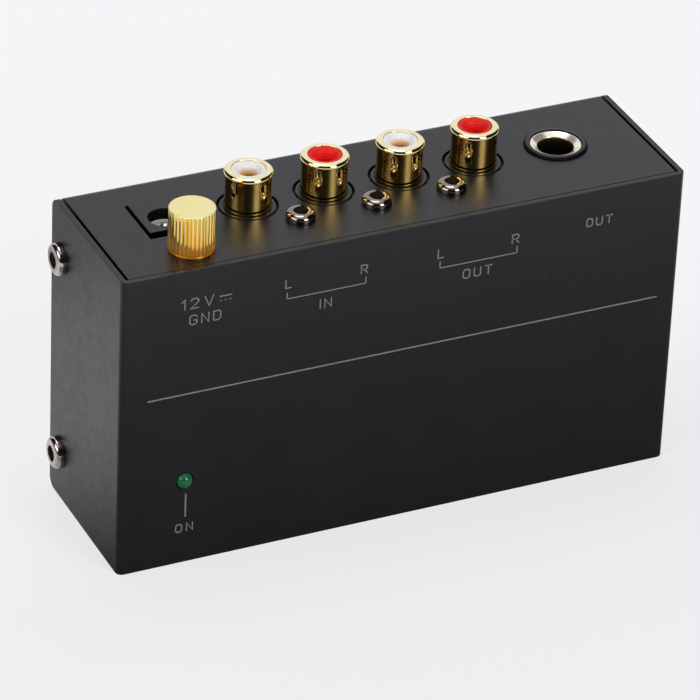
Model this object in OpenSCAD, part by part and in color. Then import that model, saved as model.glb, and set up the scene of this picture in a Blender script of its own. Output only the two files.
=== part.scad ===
// Phono preamp in a folded two-part steel box, standing on its long narrow side.
// X runs to the right, Y to the back and Z up; the origin is the middle of the base.

/* [Enclosure] */
// Width of the box
body_w = 104; // [104:1:120]
// Depth of the box, label face to back
body_d = 31; // [31:0.5:34]
// Height of the box, base to socket panel
body_h = 57.5; // [57:0.5:70]
// Thickness of the folded sheet
sheet_t = 1; // [0.8:0.1:1]
// Outer bend radius of the front cover
cover_bend_r = 1.2; // [1.1:0.1:1.4]
// Outer bend radius of the chassis
chassis_bend_r = 2; // [1.8:0.1:2.4]
// Gap between the chassis panels and the side walls
side_gap = 0.5; // [0.3:0.1:0.6]
// Gap between the chassis panels and the label face
front_gap = 0.15; // [0.1:0.05:0.3]
// Distance of the side screws from their own middle
side_screw_z = 19.3; // [16:0.1:20]
// Distance of the side screws from the back
side_screw_back = 4.2; // [3.8:0.1:4.4]

/* [Phono sockets] */
// Spacing of the four phono sockets
socket_pitch = 14; // [13.5:0.1:14.4]
// Place of the first socket, from the middle of the width
first_socket_x = -22.5; // [-23:0.1:-22]
// Outer diameter of a socket shell
shell_d = 8; // [7.8:0.1:8.1]
// Diameter over the rolled rim of a shell
rim_d = 8.4; // [8.2:0.1:8.4]
// Height of a shell above the panel
shell_h = 7; // [6.5:0.1:8]
// Diameter of a panel hole for a socket
socket_hole_d = 10.6; // [10.4:0.1:10.8]
// Diameter inside a centre contact
contact_d = 3.24; // [3.2:0.02:3.3]

/* [Phone jack] */
// Place of the phone jack, from the middle of the width
phone_x = 35.3; // [35:0.1:36]
// Diameter of its plug hole
phone_bore_d = 6.4; // [6.4:0.01:6.44]
// Diameter of its metal nose
phone_nose_d = 9; // [8.8:0.1:9.2]
// Diameter of the ring round the nose
phone_ring_d = 11.2; // [10.8:0.1:11.6]

/* [Power inlet] */
// Place of the power inlet, from the middle of the width
inlet_x = -37; // [-37.2:0.1:-36.8]
// Diameter of the inlet hole
inlet_bore_d = 6.05; // [6:0.05:6.2]
// Diameter of its centre pin
inlet_pin_d = 2; // [2:0.1:2.5]

/* [Ground screw] */
// Place of the ground screw, from the middle of the width
ground_x = -36.85; // [-37.2:0.05:-36.6]
// Place of the ground screw, from the middle of the depth
ground_y = -8.55; // [-9:0.05:-8.4]
// Diameter over the knurl
knob_d = 8; // [7.8:0.05:8.5]
// Height of the knurled head
knob_h = 7.4; // [6:0.1:9]
// Number of ridges round the head
knob_ridges = 34; // [24:2:40]
// Depth of a groove between ridges
knob_groove = 0.34; // [0.2:0.02:0.4]

/* [Hidden] */
$fn = 64;
eps = 0.01;

// Colours
coat = "#2a2b2e";
gold = "#d8b55c";
nickel = "#b9babd";
black_plastic = "#1b1b1d";
board_green = "#1f5a38";

// Levels, measured upwards from the base
panel_z = body_h;
mid_z = body_h / 2;
front_inner_y = -body_d / 2 + sheet_t;
back_inner_y = body_d / 2 - sheet_t;

// Side walls, the chassis between them, and the flanges that the side screws hold
wall_inner_x = body_w / 2 - sheet_t;
chassis_x = wall_inner_x - side_gap;
flange_bend_r = 1.5;
flange_reach = 8;
flange_z0 = 4;
relief = 1;
side_screw_y = body_d / 2 - side_screw_back;
side_mid_z = mid_z - 0.5;
panel_seam_y = body_d / 2 - chassis_bend_r;
collar_h = 1;
collar_d = 4.4;

// M3 screws
m3_d = 2.9;
m3_hole_d = 3.2;
m3_thread_d = 3;
m3_head_d = 5.8;
m3_head_h = 1.5;
m3_length = 5;

// Socket row: places, block and shells, heights from the panel's outer face
socket_x = [for (i = [0:3]) first_socket_x + i * socket_pitch];
socket_y = 1.1;
jack_screw_x = [for (i = [0:2]) socket_x[i] + socket_pitch / 2 - 0.45];
jack_screw_y = -6.1;
jack_screw_turn = -25;
jack_screw_head_d = 5.2;
jack_screw_head_h = 1.5;
jack_screw_length = 7;
block_low = -9.5;
block_front_y = -9;
block_margin = 7.2;
boss_top = -0.06;
boss_d = 9.6;
boss_gap_d = 8.6;
boss_gap_depth = 0.3;
insulator_d = 5.86;
insulator_dip = 0.15;
bowl_r = 2.2;
bowl_gap = 0.23;
contact_wall = 0.28;
contact_top = 6;
shell_wall_gap = 0.04;
rim_h = 0.75;
rim_bevel = 0.3;
dimple_w = 1.1;
dimple_l = 2.9;
dimple_z = 4.35;
dimple_depth = 0.28;
// Dimples round each shell, in degrees from +X; the first shell has one pierced hole as well
dimples_a = [-74, 106];
dimples_b = [-130, 50];
shell_dimples = [dimples_a, concat(dimples_a, dimples_b), concat(dimples_a, dimples_b), dimples_b];
pierced_angle = -153;
pierced_z = 3.5;
pierced_d = 0.9;

// Circuit board, upright behind the sockets, with its parts towards the label face
board_y = socket_y + 6.8;
board_t = 1.6;
board_w = 95;
board_z0 = 2.5;
board_z1 = 53.5;
lead_end_y = board_y + board_t + 1.2;
lead_d = 0.6;
lead_hole_d = 1;
tab_hole_d = 2.6;
standoff_x = 40;
standoff_z = 8;
standoff_d = 5.5;

// Phone jack, from its axis and the panel's outer face
phone_low = -32;
phone_half_w = 7.5;
ferrule_low = -12;
ferrule_top = 0.35;
funnel_depth = 0.55;
phone_ring_h = 0.55;
plug_way_d = 7;
pocket_x = 6.6;
pocket_half_y = 1.6;
spring_t = 0.3;
spring_half_w = 1.2;
tip_pocket = [-31.2, -15.8];
ring_pocket = [-25, -13.6];
// Bent strips, as places beside the plug's axis and heights
tip_strip = [[5.6, -16.2], [5.6, -18], [3.4, -27], [2.5, -28.2], [3.4, -29.4], [4, -30.4]];
ring_strip = [[5.6, -14.2], [5.6, -16], [3.7, -20.2], [2.9, -21.2], [3.7, -22.2], [4.3, -23.2]];
tip_pivot_z = -17.2;
ring_pivot_z = -15.2;
tail_half = 0.5;
tail_clear = 0.2;

// Power inlet, from its axis and the panel's outer face
inlet_y = 2.2;
inlet_half_w = 4.4;
inlet_front = -3.95;
inlet_low = -14;
inlet_top = -0.05;
inlet_bore_depth = 9.5;
inlet_pin_top = -1.2;
inlet_pin_root_d = 2.8;
inlet_window_left = 5.1;
inlet_window_right = 4.65;
inlet_window_front = 5.9;
inlet_window_back = 0.02;
sleeve_top = -2.15;
sleeve_window_top = -2.75;
sleeve_t = 0.3;
inlet_strip = [[4, -10.4], [4, -9.6], [3, -6.2], [2.65, -5], [3, -3.9], [3.45, -3.1]];
inlet_spring_half_w = 1;
inlet_pocket = [-11, sleeve_top];
inlet_pocket_half_w = 1.3;
inlet_pocket_y = 5;

// Ground screw: pitch, washer, shank and the clinched bush it runs in
ground_washer_t = 0.3;
ground_washer_d = knob_d - 0.1;
ground_clear = 0.02;
shank_d = 3.9;
shank_length = 10;
bush_bore_d = 4;
bush_d = 6;
bush_flange_d = 8;
bush_low = -7.5;
knob_chamfer = 0.2;
lug_d = 8.6;
lug_t = 0.5;
lug_nut_across = 8;
lug_nut_t = 2.4;
wire_d = 1.3;
wire_x = -6.9;
wire_bend_r = 3;
wire_turn_z = 45;

// Indicator light
led_x = -40;
led_z = 16.4;
led_d = 3;
led_hole_d = 3.2;
led_proud = 1;
led_length = 5.3;
led_flange_d = 3.8;
led_flange_t = 1;
led_base_y = -body_d / 2 - led_proud + led_length;
led_lead_pitch = 2.54;
led_spacer_d = 4.6;

// Parts on the board, as [x, z] places
electrolytic_spots = [[-30, 37], [-20, 37], [-10, 37], [0, 37], [12, 10], [22, 10]];
electrolytic_d = 8;
electrolytic_h = 11.5;
electrolytic_pitch = 3.5;
film_spots = [[-27, 24], [-17, 24], [-7, 24], [3, 24], [13, 24], [12, 37], [21, 37]];
film_size = [7.2, 8.5, 4.5];
film_pitch = 5;
op_amp_spots = [[-20, 11], [-4, 11]];
chip_size = [9.8, 3.4, 6.4];
chip_pitch = 2.54;
chip_row = 7.62;
regulator_spot = [35, 13];
resistor_x = [-30, -18.5, -7, 4.5, 16];
resistor_z = [18, 29.6];
resistor_d = 2.3;
resistor_l = 6.2;
resistor_pitch = 10;
diode_spots = [[-44.5, 33], [-44.5, 24]];
diode_d = 2.6;
diode_l = 5;
diode_pitch = 7.5;

function lead_pair(spots, pitch) = [for (s = spots) for (k = [-1, 1]) [s[0] + k * pitch / 2, s[1]]];

function lead_pair_z(spots, pitch) = [for (s = spots) for (k = [-1, 1]) [s[0], s[1] + k * pitch / 2]];

function chip_leads(spots) = [
  for (s = spots) for (k = [-1, 1]) for (i = [-1.5:1:1.5])
  [s[0] + i * chip_pitch, s[1] + k * chip_row / 2]
];

resistor_spots = [for (x = resistor_x) for (z = resistor_z) [x, z]];
resistor_leads = lead_pair(resistor_spots, resistor_pitch);
electrolytic_leads = lead_pair(electrolytic_spots, electrolytic_pitch);
film_leads = lead_pair(film_spots, film_pitch);
diode_leads = lead_pair_z(diode_spots, diode_pitch);
regulator_leads = [for (k = [-1:1]) [regulator_spot[0] + k * 2.54, regulator_spot[1]]];
led_lead_spots = lead_pair([[led_x, led_z]], led_lead_pitch);

// ---- Shared shapes ----

// A cylinder that runs from one depth to another, along Y
module along_y(x, z, y0, y1, d) {
  translate([x, y0, z]) rotate([-90, 0, 0]) cylinder(d = d, h = y1 - y0);
}

// Moves to a place on the socket panel's outer face
module on_panel(x, y) {
  translate([x, y, panel_z]) children();
}

// Side view of the box, with its two back corners rounded
module side_outline(depth, height, r) {
  square([depth - r, height]);
  translate([depth - r, r]) square([r, height - 2 * r]);
  for (z = [r, height - r]) {
    translate([depth - r, z]) circle(r);
  }
}

// Plan of a wall pair, with its two front corners rounded
module plan_outline(width, depth, r) {
  translate([-width / 2, r]) square([width, depth - r]);
  translate([-width / 2 + r, 0]) square([width - 2 * r, r]);
  for (k = [-1, 1]) {
    translate([k * (width / 2 - r), r]) circle(r);
  }
}

// Extrudes a Y-Z outline along X, centred
module along_x(width) {
  translate([-width / 2, 0, 0]) rotate([90, 0, 90]) linear_extrude(width) children();
}

// A solid disc with its upper edge rounded over
module domed_disc(d, h, edge) {
  rotate_extrude() {
    square([d / 2 - edge, h]);
    square([d / 2, h - edge]);
    translate([d / 2 - edge, h - edge]) circle(edge);
  }
}

// Pan head screw with a cross recess, its head standing on z = 0
module pan_screw(head_d, head_h, thread_d, length) {
  difference() {
    union() {
      domed_disc(head_d, head_h, head_h * 0.35);
      translate([0, 0, -length]) cylinder(d = thread_d, h = length + eps);
    }
    cross_recess(head_d * 0.55, head_h);
  }
}

// Two crossed slots round a tapered well
module cross_recess(span, head_h) {
  depth = head_h * 0.7;
  slot = span * 0.34;
  for (a = [0, 90]) {
    rotate([0, 0, a]) translate([-span / 2, -slot / 2, head_h - depth]) cube([span, slot, head_h]);
  }
  translate([0, 0, head_h - depth]) cylinder(r1 = slot * 0.6, r2 = slot * 1.15, h = depth + eps);
}

// A bent strip as an outline: the points and the same points shifted by the sheet
function strip_outline(points, t) = concat(
  points,
  [for (i = [len(points) - 1:-1:0]) points[i] + [t, 0]]
);

// ---- Enclosure ----

// Front, left and right walls, folded from one sheet
module front_cover() {
  color(coat) difference() {
    intersection() {
      translate([0, -body_d / 2, 0]) linear_extrude(body_h) difference() {
        plan_outline(body_w, body_d, cover_bend_r);
        translate([0, sheet_t]) {
          plan_outline(body_w - 2 * sheet_t, body_d, cover_bend_r - sheet_t);
        }
      }
      translate([0, -body_d / 2, 0]) along_x(body_w) side_outline(body_d, body_h, chassis_bend_r);
    }
    along_y(led_x, led_z, -body_d / 2 - 1, front_inner_y + 1, led_hole_d);
    for (z = [-side_screw_z, side_screw_z]) {
      translate([0, side_screw_y, side_mid_z + z]) rotate([0, 90, 0]) {
        cylinder(d = m3_hole_d, h = body_w + 2, center = true);
      }
    }
  }
}

// Back, base and the bend over to the socket panel, folded from one sheet, with two screw flanges
module chassis() {
  color(coat) difference() {
    union() {
      difference() {
        folded_channel();
        flange_notches();
        translate([-body_w, panel_seam_y - body_d, panel_z - sheet_t]) {
          cube([2 * body_w, body_d, 2 * sheet_t]);
        }
      }
      for (k = [-1, 1]) {
        on_side(k) screw_flange();
      }
    }
    for (k = [-1, 1], z = [-side_screw_z, side_screw_z]) {
      translate([k * wall_inner_x, side_screw_y, side_mid_z + z]) rotate([0, 90, 0]) {
        cylinder(d = m3_thread_d, h = 8, center = true);
      }
    }
  }
}

// Flat panel with the holes, butt-welded to the chassis where its rear bend starts
module socket_panel() {
  panel_front_y = front_inner_y + front_gap;
  color(coat) difference() {
    translate([-chassis_x, panel_front_y, panel_z - sheet_t]) {
      cube([2 * chassis_x, panel_seam_y - panel_front_y, sheet_t]);
    }
    socket_panel_holes();
  }
}

// Keeps its children on the right, or mirrors them to the left
module on_side(k) {
  if (k > 0) children();
  else mirror([1, 0, 0]) children();
}

module folded_channel() {
  depth = body_d - sheet_t - front_gap;
  translate([0, body_d / 2 - depth, 0]) along_x(2 * chassis_x) difference() {
    side_outline(depth, body_h, chassis_bend_r);
    translate([-sheet_t, sheet_t]) {
      side_outline(depth, body_h - 2 * sheet_t, chassis_bend_r - sheet_t);
    }
  }
}

// Clears the back panel's side edges where the flanges bend forwards
module flange_notches() {
  edge = wall_inner_x - flange_bend_r;
  for (k = [-1, 1]) {
    on_side(k) translate([edge, back_inner_y - 2, flange_z0 - relief]) {
      cube([body_w, 5, body_h - 2 * (flange_z0 - relief)]);
    }
  }
}

// Right-hand flange: an L bend off the back panel, with two drawn collars for the screws
module screw_flange() {
  inner_r = flange_bend_r - sheet_t;
  corner = [wall_inner_x - flange_bend_r, body_d / 2 - flange_bend_r];
  translate([0, 0, flange_z0]) linear_extrude(body_h - 2 * flange_z0) {
    translate([wall_inner_x - sheet_t, corner[1] - flange_reach]) square([sheet_t, flange_reach]);
    translate([corner[0] - eps, back_inner_y]) square([eps, sheet_t]);
    intersection() {
      translate(corner) square(flange_bend_r);
      translate(corner) difference() {
        circle(flange_bend_r);
        circle(inner_r);
      }
    }
  }
  for (z = [-side_screw_z, side_screw_z]) {
    translate([wall_inner_x - sheet_t - collar_h, side_screw_y, side_mid_z + z]) rotate([0, 90, 0]) {
      cylinder(d = collar_d, h = collar_h + eps);
    }
  }
}

module socket_panel_holes() {
  for (x = socket_x) {
    on_panel(x, socket_y) cylinder(d = socket_hole_d, h = 4, center = true);
  }
  for (x = jack_screw_x) {
    on_panel(x, jack_screw_y) cylinder(d = m3_hole_d, h = 4, center = true);
  }
  on_panel(phone_x, socket_y) cylinder(d = phone_nose_d + 0.4, h = 4, center = true);
  on_panel(ground_x, ground_y) cylinder(d = bush_d, h = 4, center = true);
  on_panel(inlet_x - inlet_window_left, inlet_y - inlet_window_front) {
    translate([0, 0, -2]) {
      cube([
        inlet_window_left + inlet_window_right,
        board_y + inlet_window_back - inlet_y + inlet_window_front,
        4
      ]);
    }
  }
}

// Four screws, two through each side wall into the flanges
module cover_screws() {
  color(nickel) for (k = [-1, 1], z = [-side_screw_z, side_screw_z]) {
    translate([k * body_w / 2, side_screw_y, side_mid_z + z]) rotate([0, k * 90, 0]) {
      pan_screw(m3_head_d, m3_head_h, m3_d, m3_length);
    }
  }
}

// Three screws that hold the socket block against the panel
module jack_screws() {
  color(nickel) for (x = jack_screw_x) {
    on_panel(x, jack_screw_y) rotate([0, 0, jack_screw_turn]) {
      pan_screw(jack_screw_head_d, jack_screw_head_h, m3_d, jack_screw_length);
    }
  }
}

// ---- Phono sockets ----

// Moulded block behind the panel, with a ring round each shell and a hole for each screw
module rca_block() {
  left = socket_x[0] - block_margin;
  width = socket_x[3] - socket_x[0] + 2 * block_margin;
  color(black_plastic) on_panel(0, 0) difference() {
    union() {
      translate([left, block_front_y, block_low]) {
        cube([width, board_y - block_front_y, -sheet_t - block_low]);
      }
      for (x = socket_x) {
        translate([x, socket_y, -sheet_t - eps]) cylinder(d = boss_d, h = sheet_t + boss_top);
      }
    }
    for (x = socket_x) {
      translate([x, socket_y, block_low - 1]) {
        cylinder(d = shell_d + 2 * shell_wall_gap, h = 2 - block_low);
      }
      translate([x, socket_y, -boss_gap_depth]) cylinder(d = boss_gap_d, h = 2 + boss_gap_depth);
    }
    for (x = jack_screw_x) {
      translate([x, jack_screw_y, block_low + 1]) cylinder(d = m3_thread_d, h = 12);
    }
  }
}

// Plated shell: rolled rim on top, punched dimples, and a flange with a board tab below
module rca_shell(i) {
  inner_r = insulator_d / 2 + shell_wall_gap;
  flange_low = block_low - 1;
  color(gold) on_panel(socket_x[i], socket_y) difference() {
    union() {
      rotate_extrude() polygon([
        [inner_r, flange_low], [5.2, flange_low], [5.2, block_low], [shell_d / 2, block_low],
        [shell_d / 2, shell_h - rim_h], [rim_d / 2, shell_h - rim_h],
        [rim_d / 2, shell_h - rim_bevel], [rim_d / 2 - rim_bevel, shell_h],
        [inner_r, shell_h]
      ]);
      translate([-1, 4, flange_low]) cube([2, lead_end_y - socket_y - 4, 0.5]);
    }
    for (a = shell_dimples[i]) {
      rotate([0, 0, a]) dimple();
    }
    if (i == 0) {
      rotate([0, 0, pierced_angle]) translate([shell_d / 2 - 0.8, 0, pierced_z]) {
        rotate([0, 90, 0]) cylinder(d = pierced_d, h = 2);
      }
    }
  }
}

// Upright oval pocket in the shell's outside
module dimple() {
  straight = dimple_l - dimple_w;
  translate([shell_d / 2 - dimple_depth, 0, dimple_z]) rotate([0, 90, 0]) {
    for (k = [-1, 1]) {
      translate([k * straight / 2, 0, 0]) cylinder(d = dimple_w, h = 1);
    }
    translate([-straight / 2, -dimple_w / 2, 0]) cube([straight, dimple_w, 1]);
  }
}

// White or red insulator: a flat edge round a steep bowl, with a hole for the plug's pin
module rca_insulator(i) {
  hole_r = contact_d / 2 + bowl_gap;
  seat_r = contact_d / 2 + contact_wall + 0.03;
  top = shell_h - insulator_dip;
  floor_z = block_low - 1;
  color(i % 2 == 0 ? "#f4f1ee" : "#d3201c") on_panel(socket_x[i], socket_y) {
    rotate_extrude() polygon([
      [0.9, floor_z], [insulator_d / 2, floor_z], [insulator_d / 2, top], [bowl_r, top - 0.05],
      [hole_r, contact_top + 0.15], [hole_r, contact_top], [seat_r, contact_top],
      [seat_r, floor_z + 1], [0.9, floor_z + 1]
    ]);
  }
}

// Sprung centre tube that grips the plug's pin, with a tail to the board
module rca_contact(i) {
  r = contact_d / 2;
  floor_z = block_low;
  color(gold) on_panel(socket_x[i], socket_y) {
    rotate_extrude() polygon([
      [0, floor_z - 2], [0.85, floor_z - 2], [0.85, floor_z], [r + contact_wall, floor_z],
      [r + contact_wall, contact_top], [r, contact_top], [r, floor_z + 1], [0, floor_z + 1]
    ]);
    translate([-0.6, 0, floor_z - 2]) cube([1.2, lead_end_y - socket_y, 0.6]);
  }
}

// ---- Phone jack ----

// Moulded body with the plug's way through it and a pocket for each contact spring
module phone_jack_body() {
  color(black_plastic) on_panel(phone_x, socket_y) difference() {
    translate([-phone_half_w, socket_y - board_y, phone_low]) {
      cube([2 * phone_half_w, 2 * (board_y - socket_y), -sheet_t - phone_low]);
    }
    translate([0, 0, phone_low - 1]) cylinder(d = plug_way_d, h = 40);
    translate([0, 0, ferrule_low]) cylinder(d = phone_nose_d + 0.1, h = 20);
    spring_pocket(tip_pocket, 1);
    spring_pocket(ring_pocket, -1);
    tail_slot(tip_pivot_z, 1);
    tail_slot(ring_pivot_z, -1);
  }
}

module spring_pocket(span, side) {
  on_side(side) translate([0, -pocket_half_y, span[0]]) {
    cube([pocket_x, 2 * pocket_half_y, span[1] - span[0]]);
  }
}

module tail_slot(pivot_z, side) {
  low = tail_half + tail_clear;
  on_side(side) translate([tip_strip[0][0] - tail_clear, 0, pivot_z - low]) {
    cube([spring_t + 2 * tail_clear, 10, 2 * low]);
  }
}

// Metal nose and sleeve contact, with a funnel mouth
module phone_jack_ferrule() {
  r = phone_bore_d / 2;
  outer = phone_nose_d / 2;
  color(gold) on_panel(phone_x, socket_y) rotate_extrude() polygon([
    [r, ferrule_low], [outer, ferrule_low], [outer, ferrule_top - 0.15],
    [outer - 0.15, ferrule_top], [outer - 0.3, ferrule_top], [r, ferrule_top - funnel_depth]
  ]);
}

// Black ring round the nose, rounded off on its outside
module phone_jack_ring() {
  outer = phone_ring_d / 2;
  inner = phone_nose_d / 2 + 0.05;
  color(black_plastic) on_panel(phone_x, socket_y) rotate_extrude() intersection() {
    translate([inner, 0]) square([outer - inner, phone_ring_h]);
    union() {
      square([outer - phone_ring_h, phone_ring_h]);
      translate([outer - phone_ring_h, 0]) circle(phone_ring_h);
    }
  }
}

// Contact spring of the phone jack: a bent strip, and a tail on its pivot line
module phone_spring(strip, pivot_z) {
  translate([0, spring_half_w, 0]) rotate([90, 0, 0]) {
    linear_extrude(2 * spring_half_w) polygon(strip_outline(strip, spring_t));
  }
  translate([strip[0][0], 0, pivot_z - tail_half]) {
    cube([spring_t, lead_end_y - socket_y, 2 * tail_half]);
  }
}

module phone_jack_tip_spring() {
  color(nickel) on_panel(phone_x, socket_y) phone_spring(tip_strip, tip_pivot_z);
}

module phone_jack_ring_spring() {
  color(nickel) on_panel(phone_x, socket_y) {
    mirror([1, 0, 0]) phone_spring(ring_strip, ring_pivot_z);
  }
}

// ---- Power inlet ----

module dc_inlet_body() {
  back = board_y - inlet_y;
  color(black_plastic) on_panel(inlet_x, inlet_y) difference() {
    translate([-inlet_half_w, inlet_front, inlet_low]) {
      cube([2 * inlet_half_w, back - inlet_front, inlet_top - inlet_low]);
    }
    translate([0, 0, -inlet_bore_depth]) cylinder(d = inlet_bore_d, h = 20);
    translate([0, 0, -inlet_bore_depth]) {
      cylinder(d = inlet_bore_d + 2 * sleeve_t + 0.04, h = sleeve_top + inlet_bore_depth);
    }
    translate([0, 0, inlet_low - 1]) cylinder(d = inlet_pin_root_d + 0.04, h = 20);
    translate([-inlet_pocket_half_w, 0, inlet_pocket[0]]) {
      cube([2 * inlet_pocket_half_w, inlet_pocket_y, inlet_pocket[1] - inlet_pocket[0]]);
    }
    translate([-1.2, 3, inlet_pocket[0]]) cube([2.4, 10, 1.7]);
  }
}

// Centre pin of the inlet, with a thicker root that is riveted in the body
module dc_inlet_pin() {
  r = inlet_pin_d / 2;
  root_top = -inlet_bore_depth;
  color(nickel) on_panel(inlet_x, inlet_y) {
    translate([0, 0, inlet_low - 0.6]) cylinder(d = inlet_pin_root_d, h = root_top - inlet_low + 0.6);
    translate([0, 0, root_top - eps]) cylinder(r = r, h = inlet_pin_top - r - root_top + eps);
    translate([0, 0, inlet_pin_top - r]) sphere(r);
    translate([-0.8, 0, inlet_low - 0.6]) cube([1.6, lead_end_y - inlet_y, 0.6]);
  }
}

// Bright liner moulded into the inlet's hole, open below where the sprung strip comes through
module dc_inlet_sleeve() {
  low = 0.02 - inlet_bore_depth;
  color(nickel) on_panel(inlet_x, inlet_y) difference() {
    translate([0, 0, low]) cylinder(d = inlet_bore_d + 2 * sleeve_t, h = sleeve_top - 0.02 - low);
    translate([0, 0, low - 1]) cylinder(d = inlet_bore_d, h = 20);
    translate([-inlet_pocket_half_w, 0, low - 1]) {
      cube([2 * inlet_pocket_half_w, inlet_pocket_y, sleeve_window_top - low + 1]);
    }
  }
}

// Sleeve contact of the inlet: a strip along the far wall, on a tail near its foot
module dc_inlet_spring() {
  color(nickel) on_panel(inlet_x, inlet_y) {
    translate([-inlet_spring_half_w, 0, 0]) rotate([90, 0, 90]) {
      linear_extrude(2 * inlet_spring_half_w) polygon(strip_outline(inlet_strip, spring_t));
    }
    translate([-0.8, inlet_strip[0][0], -10.2]) cube([1.6, lead_end_y - inlet_y - 4, 0.4]);
  }
}

// ---- Ground screw ----

// Outline of the knurl: a flat-topped ridge and a V groove, repeated
function knurl_points(r, groove, count) = [
  for (i = [0:count - 1]) for (p = [[-0.26, 0], [0.26, 0], [0.5, groove]])
  let (a = 360 * (i + p[0]) / count)
  [(r - p[1]) * cos(a), (r - p[1]) * sin(a)]
];

// One turned piece: a knurled head and a threaded shank
module ground_thumb_screw() {
  low = ground_washer_t + ground_clear;
  r = knob_d / 2;
  color(gold) on_panel(ground_x, ground_y) {
    intersection() {
      translate([0, 0, low]) linear_extrude(knob_h) {
        polygon(knurl_points(r, knob_groove, knob_ridges));
      }
      translate([0, 0, low]) rotate_extrude() polygon([
        [0, 0], [r - knob_chamfer, 0], [r + 0.05, knob_chamfer], [r + 0.05, knob_h - knob_chamfer],
        [r - knob_chamfer, knob_h], [0, knob_h]
      ]);
    }
    translate([0, 0, low - shank_length]) cylinder(d = shank_d, h = shank_length + eps);
  }
}

module ground_washer() {
  color(gold) on_panel(ground_x, ground_y) rotate_extrude() polygon([
    [2.05, 0], [ground_washer_d / 2, 0], [ground_washer_d / 2, ground_washer_t - 0.12],
    [ground_washer_d / 2 - 0.12, ground_washer_t], [2.05, ground_washer_t]
  ]);
}

// Threaded bush clinched into the panel from inside
module ground_bush() {
  r = bush_bore_d / 2;
  color(nickel) on_panel(ground_x, ground_y) rotate_extrude() polygon([
    [r, bush_low], [bush_d / 2, bush_low], [bush_d / 2, -sheet_t - 1],
    [bush_flange_d / 2, -sheet_t - 1], [bush_flange_d / 2, -sheet_t], [bush_d / 2, -sheet_t],
    [bush_d / 2, -0.05], [r, -0.05]
  ]);
}

// Ring terminal under the bush's flange, with a crimp barrel for the wire
module ground_lug() {
  top = -sheet_t - 1;
  color(nickel) on_panel(ground_x, ground_y) difference() {
    union() {
      translate([0, 0, top - lug_t]) cylinder(d = lug_d, h = lug_t);
      translate([wire_x, -1.2, top - lug_t]) cube([-wire_x, 2.4, lug_t]);
      translate([wire_x, 0, top - 3]) cylinder(d = 2.4, h = 3);
    }
    translate([0, 0, top - 2]) cylinder(d = bush_d + 0.06, h = 3);
    translate([wire_x, 0, top - 4]) cylinder(d = wire_d + 0.04, h = 3.2);
  }
}

module ground_lug_nut() {
  top = -sheet_t - 1 - lug_t;
  color(nickel) on_panel(ground_x, ground_y) difference() {
    translate([0, 0, top - lug_nut_t]) cylinder(d = lug_nut_across / cos(30), h = lug_nut_t, $fn = 6);
    translate([0, 0, top - lug_nut_t - 1]) cylinder(d = bush_d + 0.06, h = lug_nut_t + 2);
  }
}

// Insulated wire from the ring terminal down and back to the board
module ground_wire() {
  x = ground_x + wire_x;
  bend_y = ground_y + wire_bend_r;
  color("#2f7d3a") {
    translate([x, ground_y, wire_turn_z]) cylinder(d = wire_d, h = panel_z - sheet_t - 2 - wire_turn_z);
    translate([x, bend_y, wire_turn_z]) rotate([90, 0, -90]) rotate_extrude(angle = -90) {
      translate([wire_bend_r, 0]) circle(d = wire_d);
    }
    along_y(x, wire_turn_z - wire_bend_r, bend_y, board_y, wire_d);
    along_y(x, wire_turn_z - wire_bend_r, board_y - eps, lead_end_y, lead_d);
  }
}

// ---- Indicator light ----

module led_lens() {
  r = led_d / 2;
  color("#1f5c2a") translate([led_x, led_base_y, led_z]) rotate([90, 0, 0]) rotate_extrude() {
    square([r, led_length - r]);
    square([led_flange_d / 2, led_flange_t]);
    intersection() {
      translate([0, led_length - r]) circle(r);
      square([r, led_length]);
    }
  }
}

module led_leads() {
  color(nickel) for (s = led_lead_spots) {
    along_y(s[0], s[1], led_base_y, lead_end_y, lead_d);
  }
}

module led_spacer() {
  color(black_plastic) difference() {
    along_y(led_x, led_z, led_base_y, board_y, led_spacer_d);
    for (s = led_lead_spots) {
      along_y(s[0], s[1], led_base_y - 1, board_y + 1, lead_hole_d);
    }
  }
}

// ---- Circuit board and its parts ----

module circuit_board() {
  lead_spots = concat(
    electrolytic_leads, film_leads, resistor_leads, diode_leads, regulator_leads,
    led_lead_spots, chip_leads(op_amp_spots), [[ground_x + wire_x, wire_turn_z - wire_bend_r]]
  );
  color(board_green) difference() {
    translate([-board_w / 2, board_y, board_z0]) cube([board_w, board_t, board_z1 - board_z0]);
    for (s = lead_spots) {
      along_y(s[0], s[1], board_y - 1, board_y + 3, lead_hole_d);
    }
    for (s = tab_spots()) {
      along_y(s[0], s[1], board_y - 1, board_y + 3, tab_hole_d);
    }
    for (x = [-standoff_x, standoff_x]) {
      along_y(x, standoff_z, board_y - 1, board_y + 3, m3_hole_d);
    }
  }
}

// Board holes for the flat tabs of the jacks
function tab_spots() = concat(
  [for (x = socket_x) [x, panel_z + block_low - 1.2]],
  [[phone_x + 5.75, panel_z + tip_pivot_z], [phone_x - 5.75, panel_z + ring_pivot_z]],
  [[inlet_x, panel_z - 10], [inlet_x, panel_z + inlet_low - 0.3]]
);

// Spacers clinched into the back panel, under the board's lower corners
module board_standoffs() {
  color(nickel) for (x = [-standoff_x, standoff_x]) {
    difference() {
      along_y(x, standoff_z, board_y + board_t, back_inner_y, standoff_d);
      along_y(x, standoff_z, board_y, back_inner_y - 0.4, m3_thread_d);
    }
  }
}

module board_screws() {
  color(nickel) for (x = [-standoff_x, standoff_x]) {
    translate([x, board_y, standoff_z]) rotate([90, 0, 0]) {
      pan_screw(jack_screw_head_d, m3_head_h, m3_d, m3_length);
    }
  }
}

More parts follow.
